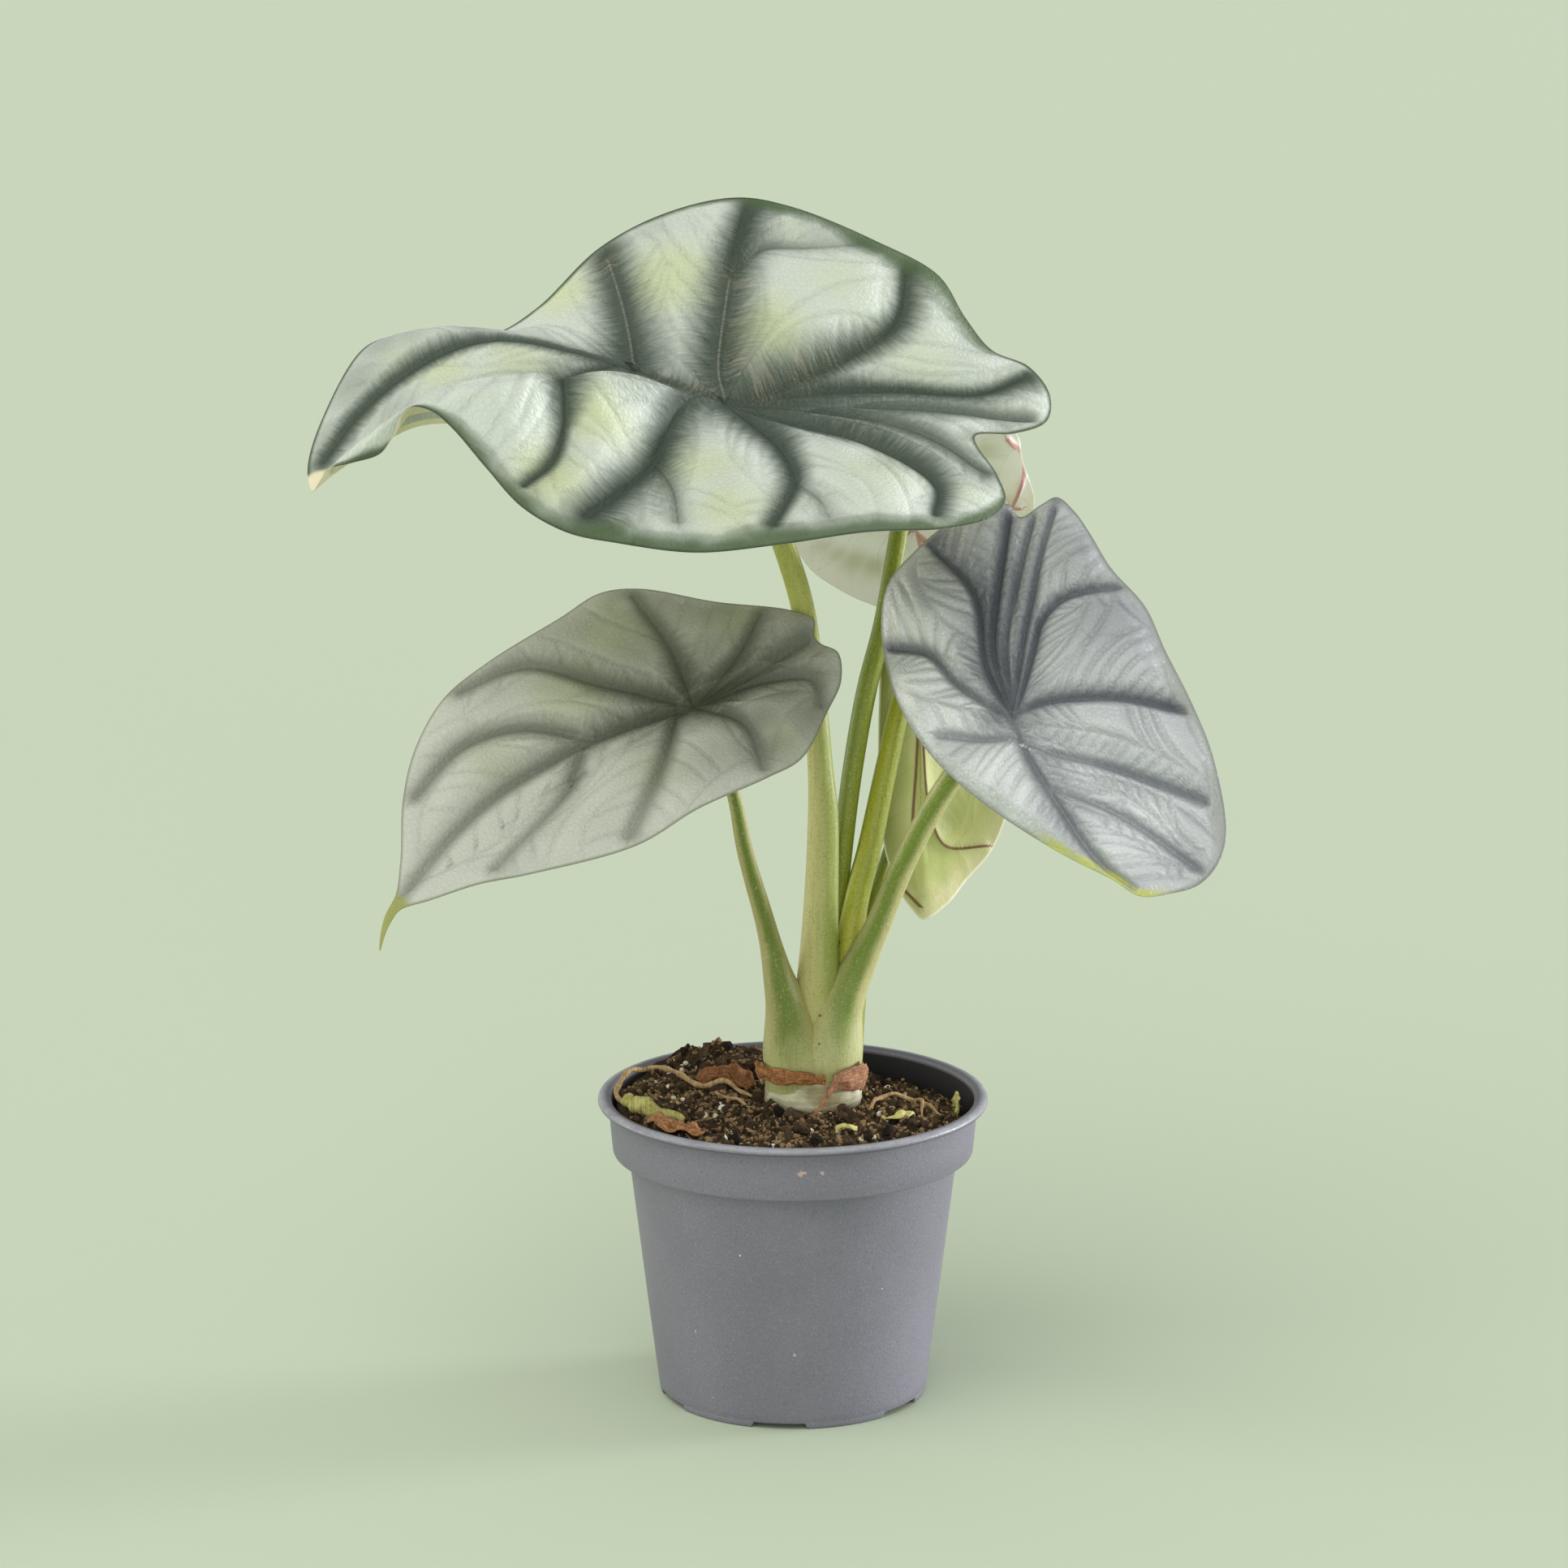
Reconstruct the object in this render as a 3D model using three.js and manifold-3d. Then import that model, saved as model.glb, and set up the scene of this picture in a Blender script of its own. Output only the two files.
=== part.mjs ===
// A silver dragon alocasia in a 12 cm nursery pot, millimetres, +Z up.
// The origin is the middle of the pot's foot, on the surface that the pot stands on.
// The front of the plant, as it is pictured, faces -Y.

import * as THREE from 'three';
import { mergeVertices } from 'three/addons/utils/BufferGeometryUtils.js';
import Module from 'manifold-3d';

const wasm = await Module();
wasm.setup();

// Driving dimensions of the pot
const POT_HEIGHT = 94.5;
const LIP_RADIUS = 60;
const LIP_HEIGHT = 2.2;
const BAND_TOP_RADIUS = 56.7;
const BAND_FOOT_RADIUS = 55.5;
const BAND_FOOT_HEIGHT = 77;
const BODY_TOP_RADIUS = 50.7;
const FOOT_RADIUS = 41.5;
const FOOT_RING_HEIGHT = 2.3;
const WALL = 1.2;
const FLOOR_TOP = 3;
const CENTRE_PAD_RADIUS = 9;
const NOTCHES = 6;
const NOTCH_WIDTH = 15.5;
const NOTCH_HEIGHT = 1.8;
const FIRST_NOTCH_DEGREES = -96;
const POT_SIDES = 36;

// Driving dimensions of the soil and the plant
const CLEARANCE = 0.3;
const SOIL_LEVEL = 92;
const SOIL_LUMP = 1.1;
const SOIL_FALL = 7;
const SOIL_FALL_DIRECTION = new THREE.Vector2(0.75, 0.5);
const SOIL_FALL_START = 15;
const SOIL_FALL_END = 52;
const SOIL_RING_RADII = [54.3, 46, 36, 26, 15, 5];
const CORM_CENTRE = new THREE.Vector2(6.5, 2);
const CORM_RADIUS = 14.6;
const CORM_TOP = 103;
const CORM_BOTTOM = 66;
const CORM_STEPS = 9;
const CORM_SIDES = 16;
const ROOT_COUNT = 5;
const ROOT_RADIUS = 1.6;
const ROOT_REACH = 34;
const ROOT_START_HEIGHT = 82;
const ROOT_DROP = 58;
const BLADE_THICKNESS = 1.1;
const SPOKES_PER_LANDMARK = 2;
const QUILT_FADE_START = 0.82;
const DROOP_START = 0.8;
const STEM_SIDES = 10;
const HUB_CUT_RINGS = 3;
const HUB_CUT_HEIGHT = 15;
const SCRAP_SIDES = 6;
const SHEATH_STEPS = 8;

const POT_GREY = 0x7d7f84;
const SOIL_BROWN = 0x3a2a20;
const CORM_GREY = 0xa9a891;
const SILVER = 0xc9d3c6;
const SHADED_SILVER = 0x8d9287;
const COOL_SILVER = 0xc6c9cb;
const BACK_CREAM = 0xdedac4;
const BACK_GREEN = 0xb9c387;
const STEM_GREEN = 0x8f9a4a;
const DARK_STEM_GREEN = 0x66762a;
const YELLOW_GREEN = 0xa6aa3e;
const DRY_BROWN = 0x966441;
const DRY_PINK_BROWN = 0xa88474;
const DRY_TAN = 0xb99a6c;
const DRY_OLIVE = 0x9a9a50;
const DRY_YELLOW = 0xc0b46a;

const PLASTIC_ROUGHNESS = 0.45;
const FRESH_ROUGHNESS = 0.5;
const CORM_ROUGHNESS = 0.7;
const DRY_ROUGHNESS = 0.85;
const SOIL_ROUGHNESS = 0.95;

// Each leaf is drawn on a plane through its hub, where the stalk joins the blade.
// The plane starts level, with its right along +X and its top along +Y. It is tilted up by
// `tilt` degrees and then turned about the upright axis by `turn` degrees.
// Rim landmarks are [right, top, lift, bow, droop]: lift is the height of the rim above the plane,
// bow is how far the blade bulges above the straight line from hub to rim, and droop is how far
// the rim itself hangs below the blade next to it, which makes a wave (none unless given).
// Veins are [right, top] points on the same plane.
const LEAVES = {
  top: {
    hub: [-20.5, 3, 308.8], tilt: 36, turn: 0, rings: 8, quilt: 3.4, cell: 8, colour: SILVER,
    rim: [
      [75, -8, -5, 0], [81, -27, -2, 0], [83, -40, 1, 0], [78, -51, 5, 1], [64, -59, 9, 1],
      [42, -64, 13, 1], [16, -70, 14, 1], [-8, -74, 15, 1], [-31, -72, 17, 1], [-45, -68, 17, 1],
      [-58, -61, 20, 2], [-69, -47, 22, 4], [-79, -35, 26, 7], [-85, -30, 28, 9], [-91, -27, 27, 10],
      [-95, -26, 22, 11, 5], [-98, -26, 13, 12, 12], [-102, -26, 6, 13, 14], [-111, -25, 1, 15, 10],
      [-118, -23, -4, 16, 5], [-123, -23, -13, 16, 3], [-125, -14, -13, 16], [-122, 0, -9, 15],
      [-110, 24, -1, 12], [-101, 31, -2, 10], [-86, 38, -8, 6], [-71, 41, -11, 4], [-58, 50, -9, 2],
      [-39, 66, 1, 0], [-19, 75, 7, -1], [3, 80, 9, -1], [20, 77, 8, 1], [46, 66, 4, 2],
      [65, 54, 1, 2], [73, 42, -5, 2],
      [81, 33, -10, 2], [92, 26, -10, 1], [98, 17, -12, 1], [97, 5, -12, 1], [87, -3, -9, 0],
    ],
    veins: [
      [[0, 0], [-27, 6], [-48, 13], [-70, 17], [-84, 14], [-98, 7], [-112, -4], [-120, -14]],
      [[-33, 7], [-45, 1], [-57, -8], [-68, -13], [-80, -14]],
      [[-48, -4], [-47, -29], [-50, -41], [-58, -52]],
      [[-8, -1], [-14, -9], [-21, -34], [-27, -44], [-39, -60]],
      [[-20, -33], [-15, -45], [-13, -60]],
      [[0, 0], [7, -8], [17, -24], [21, -40], [15, -61]],
      [[21, -40], [28, -49], [31, -57]],
      [[0, 0], [20, -8], [40, -14], [55, -25], [63, -38], [62, -52]],
      [[0, 0], [26, 0], [50, -4], [66, -14], [78, -26]],
      [[-27, 6], [-29, 28], [-33, 48], [-37, 62]],
      [[0, 0], [-2, 12], [0, 37], [3, 59], [7, 76]],
      [[2, 50], [11, 60], [26, 61], [41, 64]],
      [[0, 0], [14, 6], [36, 20], [52, 35], [55, 54]],
      [[0, 0], [26, 7], [50, 11], [75, 13], [91, 22]],
      [[0, 0], [50, 4], [92, 4]],
    ],
  },
  left: {
    hub: [-29.7, -20, 221.1], tilt: 45, turn: 0, rings: 7, quilt: 2.2, cell: 7, colour: SHADED_SILVER,
    rim: [
      [36, 22, 5, 0], [36, 26, 8, 0], [29, 30, 7, 0], [6, 39, -2, 2], [-17, 45, -4, 3],
      [-29, 42, -2, 3], [-41, 33, -2, 3], [-62, 16, 0, 3], [-75, 3, 0, 3], [-83, -14, -1, 4],
      [-86, -33, 0, 4], [-86, -54, 0, 4], [-87, -71, 0, 3], [-90, -81, 1, 2], [-84, -76, 4, 2],
      [-79, -73, 6, 3], [-62, -68, 11, 3], [-48, -66, 13, 3], [-16, -59, 18, 2], [2, -47, 19, 1],
      [22, -34, 15, 1], [32, -25, 11, 1], [40, -5, 6, 1], [44, 7, 4, 0], [43, 17, 4, 0], [38, 20, 4, 0],
    ],
    veins: [
      [[0, 0], [-25, -12], [-52, -29], [-70, -46], [-85, -67]],
      [[0, 0], [15, -9], [21, -30]],
      [[-5, -3], [-9, -26], [-18, -55]],
      [[-32, -16], [-39, -37], [-57, -62]],
      [[0, 0], [-7, 20], [-19, 41]],
      [[0, 0], [-28, 6], [-50, 13], [-70, 5]],
      [[-30, -14], [-52, -10], [-68, -15], [-82, -32]],
      [[0, 0], [13, 16], [20, 31]],
      [[0, 0], [11, 6], [34, 21]],
      [[0, 0], [21, 8], [35, 8], [38, -3]],
    ],
  },
  right: {
    hub: [64.7, -28, 220.4], tilt: 52, turn: -20, rings: 7, quilt: 2.6, cell: 7, colour: COOL_SILVER,
    rim: [
      [-12, 68, -4, 0], [-6, 72, -3, 0], [-1, 74, -1, 0], [6, 69, 0, 0], [13, 61, 1, 0], [21, 51, 0, 1],
      [34, 39, 0, 2], [43, 25, 0, 2], [54, 9, -3, 2], [63, -7, -5, 2], [70, -29, -9, 1],
      [69, -39, -9, 1], [65, -46, -8, 1], [59, -51, -4, 2], [51, -55, 1, 4], [42, -51, 2, 4],
      [24, -44, 3, 4], [-5, -28, 1, 2], [-25, -12, -2, 1], [-39, 6, -3, 1], [-47, 26, -2, 1],
      [-47, 40, 1, 1], [-42, 51, 0, 0], [-33, 62, 0, 0], [-22, 70, -1, 0], [-16, 71, -2, 0],
    ],
    veins: [
      [[0, 0], [8, -13], [22, -30], [36, -45], [49, -53]],
      [[0, 0], [-11, 15], [-20, 39], [-37, 54]],
      [[-4, 1], [-19, 9], [-30, 18], [-43, 20]],
      [[5, -8], [-5, -9], [-21, -8]],
      [[0, 0], [-10, 21], [-14, 57], [-15, 67]],
      [[0, 0], [-1, 16], [-2, 55], [-1, 70]],
      [[-1, 25], [5, 36], [27, 45]],
      [[0, 0], [11, 5], [30, 8], [52, 7]],
      [[6, -10], [28, -12], [62, -20]],
      [[17, -25], [36, -27], [66, -42]],
    ],
  },
  back_upper: {
    hub: [34.3, 38, 276.9], tilt: 55, turn: 180, rings: 5, quilt: 1.6, cell: 7, colour: BACK_CREAM,
    rim: [
      [-3, 24, 0, 0], [4, 31, 1, 0], [16, 33, 2, 0], [28, 27, 3, 0], [37, 10, 4, 1], [39, -13, 5, 1],
      [34, -29, 5, 2], [28, -43, 6, 2], [16, -53, 5, 3], [5, -59, 4, 3], [-5, -67, 0, 4],
      [-15, -75, -8, 5], [-22, -62, -2, 4], [-32, -44, 2, 3], [-38, -24, 4, 2], [-40, -9, 4, 1],
      [-36, 8, 4, 0], [-34, 20, 3, 0], [-28, 28, 2, 0], [-19, 31, 1, 0], [-9, 29, 0, 0],
    ],
    veins: [
      [[0, 0], [-6, -30], [-14, -72]],
      [[0, 0], [18, -14], [31, -26]],
      [[-3, -18], [12, -38], [17, -50]],
      [[0, 0], [-22, -10], [-36, -12]],
      [[-4, -20], [-18, -38], [-28, -46]],
      [[0, 0], [12, 16], [15, 30]],
      [[0, 0], [-13, 15], [-18, 28]],
    ],
  },
  back_lower: {
    hub: [39.3, 25, 230.1], tilt: 98, turn: 190, rings: 5, quilt: 1.4, cell: 6, colour: BACK_GREEN,
    rim: [
      [-2, 12, 0, 0], [2, 20, 3, 0], [8, 14, 6, 0], [11, 1, 8, 0], [12, -14, 8, 0], [13, -34, 7, 0],
      [13, -51, 6, 0], [12, -64, 4, 0], [9, -74, 2, 0], [5, -81, 0, 0], [2, -84, -3, 0],
      [-6, -80, -1, 1], [-13, -73, 2, 1], [-21, -65, 4, 1], [-26, -55, 5, 1], [-30, -40, 6, 1],
      [-31, -23, 6, 1], [-28, -3, 5, 0], [-21, 13, 4, 0], [-12, 19, 2, 0], [-6, 17, 0, 0],
    ],
    veins: [
      [[0, 0], [3, -39], [4, -51], [4, -76]],
      [[1, -20], [-1, -51], [-6, -62], [-20, -63]],
      [[0, 0], [-14, -14], [-28, -34]],
      [[0, 0], [-10, 8], [-16, 16]],
    ],
  },
};

// Each stalk runs from inside the foot of the plant up to its leaf's hub.
// Stops are [x, y, z, half width, half depth]. Stalks nearer the core come first, because the
// later ones wrap round them as sheaths.
const STALKS = {
  top: {
    colour: STEM_GREEN,
    steps: 15,
    stops: [
      [6, 2, 94, 8.5, 8.5], [6.5, 2, 111, 7.6, 7.4], [7.7, 0, 132.6, 6.4, 6.2], [8.4, -1, 150, 5.4, 5.2],
      [9.1, 0, 183.7, 4.6, 4.4], [8.3, 0, 196.4, 3.9, 3.9], [6.3, 1, 221.4, 3.6, 3.6],
      [2.9, 2, 246.3, 3.5, 3.5], [-3, 2, 266.2, 3.4, 3.4], [-11.5, 3, 288.4, 3.2, 3.2],
      [-22.5, 3, 313.5, 3.2, 3.2],
    ],
  },
  back_lower: {
    colour: YELLOW_GREEN,
    steps: 12,
    stops: [
      [11, 4, 94, 8, 7], [14, 5, 120, 6.5, 6], [16.8, 5, 136, 4.8, 4.8], [18.1, 5, 146.6, 4.1, 4.1],
      [19.9, 6, 156.7, 3.8, 3.8], [23.1, 8, 169, 3.7, 3.7], [28.3, 13, 193.3, 3.4, 3.4],
      [32.8, 18, 212.3, 3.2, 3.2], [40, 28, 234, 3.2, 3.2],
    ],
  },
  back_upper: {
    colour: DARK_STEM_GREEN,
    steps: 12,
    stops: [
      [8, 8, 94, 8, 7], [10.5, 9, 125, 5.5, 5], [12.2, 9, 145.6, 4, 4], [14.2, 9, 161, 3.2, 3.2],
      [18.1, 12, 193.5, 3.1, 3.1], [22.5, 17, 217.8, 3.1, 3.1], [27.5, 23, 236.8, 3, 3],
      [31, 30, 255.7, 2.8, 2.8], [35.5, 41, 281, 2.8, 2.8],
    ],
  },
  shoot: {
    colour: DARK_STEM_GREEN,
    steps: 8,
    stops: [
      [14, 4, 94, 7, 6], [18, 4, 125, 4.6, 4.4], [21.6, 7, 143, 2.8, 2.8], [25.7, 14, 154.6, 2.2, 2.2],
      [28.8, 21, 163.1, 2, 2], [31.3, 26.5, 172.2, 1.5, 1.5], [33.1, 31, 181, 0.5, 0.5],
    ],
  },
  left: {
    colour: STEM_GREEN,
    steps: 12,
    stops: [
      [2.5, 0.5, 94, 13.5, 14], [0.5, -0.5, 108, 10, 11], [-2, -3, 123.1, 6.6, 8],
      [-4.7, -5, 133.9, 4.6, 5.4], [-6.7, -6, 143.2, 3.4, 3.6], [-8.9, -8, 152.6, 2.9, 3],
      [-14.5, -13, 174.2, 2.5, 2.5], [-17.9, -17, 192.9, 2.1, 2.1], [-22.5, -19, 208.4, 2.2, 2.2],
      [-31, -20.5, 224, 2.4, 2.4],
    ],
  },
  right: {
    colour: STEM_GREEN,
    steps: 12,
    stops: [
      [9, 1.5, 94, 13, 13], [11.2, 0.5, 108, 10.4, 11], [14.3, 0, 122, 7.4, 8.2],
      [19.3, 0, 133.5, 5.4, 5.6], [25.8, -3, 148.5, 3.9, 3.9], [35.1, -9, 173.2, 3.6, 3.6],
      [47.5, -18, 198.1, 3.5, 3.5], [57.5, -25, 211.5, 3.3, 3.3], [67, -29.5, 223, 3.2, 3.2],
    ],
  },
};

// Dead roots and scraps lying half sunk on the soil: stops as above, with z above the soil level.
const LITTER = {
  dry_root_left: {
    colour: DRY_TAN,
    stops: [[-52, -7, 1, 0.9, 0.9], [-54, 2, 4, 1.1, 1.1], [-48, 11, 6, 1.1, 1.1],
      [-40, 13, 6, 1.1, 1.1], [-31, 10, 4, 1.2, 1.2], [-19, 7, 2.5, 1.1, 1.1], [-13, 3, 0.5, 0.8, 0.8]],
  },
  dry_root_right: {
    colour: DRY_BROWN,
    stops: [[23, -14, -1, 0.8, 0.8], [27, -5, 3, 0.9, 0.9], [36.9, -2, 2.5, 0.9, 0.9],
      [44.3, -6, 1, 0.8, 0.8], [48.6, -7.6, 0.4, 0.7, 0.7]],
  },
  dry_leaf: {
    colour: DRY_BROWN,
    stops: [[-45, -25, 1.2, 1, 0.6], [-40, -30, 2.4, 3.4, 0.8], [-33, -35, 2.4, 3.6, 0.8],
      [-26, -40, 1, 1.2, 0.6]],
  },
  stalk_stub: {
    colour: DRY_OLIVE,
    stops: [[-52, -12, 3, 1.7, 1.4], [-47, -17, 2.6, 2.1, 1.7], [-40, -22, 1.4, 1.3, 1.1]],
  },
  yellow_scrap: {
    colour: DRY_YELLOW,
    stops: [[51, 11, -1, 0.8, 1.4], [53, 1, 0.4, 0.9, 2.2], [52.4, -10, -1, 0.8, 1.2]],
  },
  bark_scrap: {
    colour: DRY_BROWN,
    stops: [[-27, 17, 0.2, 1.1, 0.8], [-22, 20, 3.4, 1.8, 1.1], [-14, 18, 4.6, 1.2, 0.8]],
  },
};

// Papery remains of old sheaths round the foot of the plant, as bands on edge.
const OLD_SHEATHS = {
  old_sheath_left: {
    colour: DRY_BROWN,
    stops: [[-11.8, 4, 101, 0.6, 2.6], [-10.6, -4, 102, 0.7, 3.4], [-4.5, -12.2, 102.4, 0.7, 3.2],
      [3, -15.8, 103, 0.7, 2.4], [10, -16.6, 102.4, 0.5, 1.4]],
  },
  old_sheath_right: {
    colour: DRY_PINK_BROWN,
    stops: [[12, -13, 100.5, 0.6, 1.8], [17, -10.4, 101.5, 0.7, 3.6], [21.2, -5.2, 101, 0.7, 4.2],
      [22.8, 1.5, 100.5, 0.6, 2.4]],
  },
};

/** The signed volume of an indexed geometry, positive where its faces point out */
function signedVolume(geometry) {
  const position = geometry.attributes.position;
  const index = geometry.index;
  const a = new THREE.Vector3();
  const b = new THREE.Vector3();
  const c = new THREE.Vector3();
  let volume = 0;
  for (let i = 0; i < index.count; i += 3) {
    a.fromBufferAttribute(position, index.getX(i));
    b.fromBufferAttribute(position, index.getX(i + 1));
    c.fromBufferAttribute(position, index.getX(i + 2));
    volume += a.dot(b.cross(c)) / 6;
  }
  return volume;
}

/** Merge a closed geometry's shared vertices, drop its flat triangles and face it outwards */
function closeUp(geometry) {
  geometry.deleteAttribute('normal');
  geometry.deleteAttribute('uv');
  const merged = mergeVertices(geometry, 1e-4);
  const kept = [];
  for (let i = 0; i < merged.index.count; i += 3) {
    const corners = [merged.index.getX(i), merged.index.getX(i + 1), merged.index.getX(i + 2)];
    if (new Set(corners).size === 3) {
      kept.push(corners);
    }
  }
  merged.setIndex(kept.flat());
  if (signedVolume(merged) < 0) {
    merged.setIndex(kept.map(([a, b, c]) => [a, c, b]).flat());
  }
  return merged;
}

/** A closed geometry as a solid that can be cut and joined */
function toSolid(geometry) {
  const closed = closeUp(geometry);
  return new wasm.Manifold(new wasm.Mesh({
    numProp: 3,
    vertProperties: new Float32Array(closed.attributes.position.array),
    triVerts: new Uint32Array(closed.index.array),
  }));
}

/** A solid's largest body as a geometry */
function toGeometry(solid) {
  const bodies = solid.decompose().sort((a, b) => b.volume() - a.volume());
  const mesh = bodies[0].getMesh();
  const geometry = new THREE.BufferGeometry();
  geometry.setAttribute('position', new THREE.BufferAttribute(new Float32Array(mesh.vertProperties), 3));
  geometry.setIndex(new THREE.BufferAttribute(new Uint32Array(mesh.triVerts), 1));
  return geometry;
}

/** A closed body between rows of equally many points, each end fanned to the middle of its row */
function skin(rows) {
  const sides = rows[0].length;
  const points = rows.flat();
  const index = [];
  for (let row = 0; row + 1 < rows.length; row += 1) {
    for (let side = 0; side < sides; side += 1) {
      const next = (side + 1) % sides;
      const a = row * sides + side;
      const b = row * sides + next;
      index.push(a, b, b + sides, a, b + sides, a + sides);
    }
  }
  for (const [first, flip] of [[0, true], [(rows.length - 1) * sides, false]]) {
    const middle = new THREE.Vector3();
    for (let side = 0; side < sides; side += 1) {
      middle.addScaledVector(points[first + side], 1 / sides);
    }
    points.push(middle);
    for (let side = 0; side < sides; side += 1) {
      const a = first + side;
      const b = first + (side + 1) % sides;
      index.push(points.length - 1, flip ? b : a, flip ? a : b);
    }
  }
  const geometry = new THREE.BufferGeometry().setFromPoints(points);
  geometry.setIndex(index);
  return geometry;
}

/**
 * A closed tube of oval section through stops [x, y, z, half width, half depth].
 * The section's depth leans towards `deep`, and `grow` is added all round.
 */
function tube(stops, sides, steps, deep, grow = 0) {
  const line = new THREE.CatmullRomCurve3(stops.map(([x, y, z]) => new THREE.Vector3(x, y, z)));
  const sizes = new THREE.CatmullRomCurve3(stops.map((stop) => new THREE.Vector3(stop[3], stop[4], 0)));
  const rows = [];
  for (let step = 0; step <= steps; step += 1) {
    const at = step / steps;
    const along = line.getTangent(at);
    const across = new THREE.Vector3().crossVectors(deep, along).normalize();
    const depth = new THREE.Vector3().crossVectors(along, across);
    const centre = line.getPoint(at);
    if (step === 0 || step === steps) {
      centre.addScaledVector(along, step === 0 ? -grow : grow);
    }
    const size = sizes.getPoint(at);
    const row = [];
    for (let side = 0; side < sides; side += 1) {
      const angle = (2 * Math.PI * side) / sides;
      row.push(centre.clone()
        .addScaledVector(across, (size.x + grow) * Math.cos(angle))
        .addScaledVector(depth, (size.y + grow) * Math.sin(angle)));
    }
    rows.push(row);
  }
  return skin(rows);
}

/** The distance from a point on the leaf's plane to a vein's line */
function distanceToVein(point, vein) {
  let nearest = Infinity;
  for (let i = 0; i + 1 < vein.length; i += 1) {
    const start = new THREE.Vector2(...vein[i]);
    const span = new THREE.Vector2(...vein[i + 1]).sub(start);
    const along = THREE.MathUtils.clamp(point.clone().sub(start).dot(span) / span.lengthSq(), 0, 1);
    nearest = Math.min(nearest, start.addScaledVector(span, along).distanceTo(point));
  }
  return nearest;
}

/** The leaf plane's right, top and outward directions */
function leafAxes(leaf) {
  const turn = new THREE.Matrix4().makeRotationZ(THREE.MathUtils.degToRad(leaf.turn));
  turn.multiply(new THREE.Matrix4().makeRotationX(THREE.MathUtils.degToRad(leaf.tilt)));
  const axes = [new THREE.Vector3(), new THREE.Vector3(), new THREE.Vector3()];
  turn.extractBasis(...axes);
  return axes;
}

/** A point of the blade, `reach` of the way from hub to rim, raised between the veins */
function bladePoint(leaf, axes, rim, shape, reach, offset) {
  const flat = new THREE.Vector2(rim.x * reach, rim.y * reach);
  const gap = Math.min(...leaf.veins.map((vein) => distanceToVein(flat, vein)));
  const swell = leaf.quilt * (1 - Math.exp(-((gap / leaf.cell) ** 2)));
  const fade = 1 - THREE.MathUtils.smoothstep(reach, QUILT_FADE_START, 1);
  const hang = shape.y * Math.max(0, (reach - DROOP_START) / (1 - DROOP_START)) ** 2;
  const bulge = shape.x * 4 * reach * (1 - reach);
  const lift = (rim.z + shape.y) * reach + bulge - hang + swell * fade + offset;
  return new THREE.Vector3(...leaf.hub)
    .addScaledVector(axes[0], flat.x)
    .addScaledVector(axes[1], flat.y)
    .addScaledVector(axes[2], lift);
}

/** A closed blade between two offsets from the leaf's surface, out to its rim or to an inner ring */
function blade(leaf, below, above, ringEnd = leaf.rings) {
  const axes = leafAxes(leaf);
  const outline = new THREE.CatmullRomCurve3(
    leaf.rim.map(([right, top, lift]) => new THREE.Vector3(right, top, lift)), true);
  const shapes = new THREE.CatmullRomCurve3(
    leaf.rim.map(([, , , bow, droop = 0]) => new THREE.Vector3(bow, droop, 0)), true);
  const spokes = leaf.rim.length * SPOKES_PER_LANDMARK;
  const rows = [];
  for (const offset of [above, below]) {
    for (let ring = 1; ring <= ringEnd; ring += 1) {
      const row = [];
      for (let spoke = 0; spoke < spokes; spoke += 1) {
        const rim = outline.getPoint(spoke / spokes);
        const shape = shapes.getPoint(spoke / spokes);
        row.push(bladePoint(leaf, axes, rim, shape, ring / leaf.rings, offset));
      }
      rows.push(row);
    }
  }
  const ordered = [...rows.slice(0, ringEnd), ...rows.slice(ringEnd).reverse()];
  return skin(ordered);
}

/** The soil's height at a place in the pot: nearly brim full, and lower to the back right */
function soilTop(x, y) {
  const towardsFall = SOIL_FALL_DIRECTION.dot(new THREE.Vector2(x, y));
  const fall = SOIL_FALL * THREE.MathUtils.smoothstep(towardsFall, SOIL_FALL_START, SOIL_FALL_END);
  const lumps = Math.sin(x * 0.42 + 1.3) * Math.cos(y * 0.37) + 0.6 * Math.sin(x * 0.17 - y * 0.29);
  return SOIL_LEVEL - fall + SOIL_LUMP * lumps;
}

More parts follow.
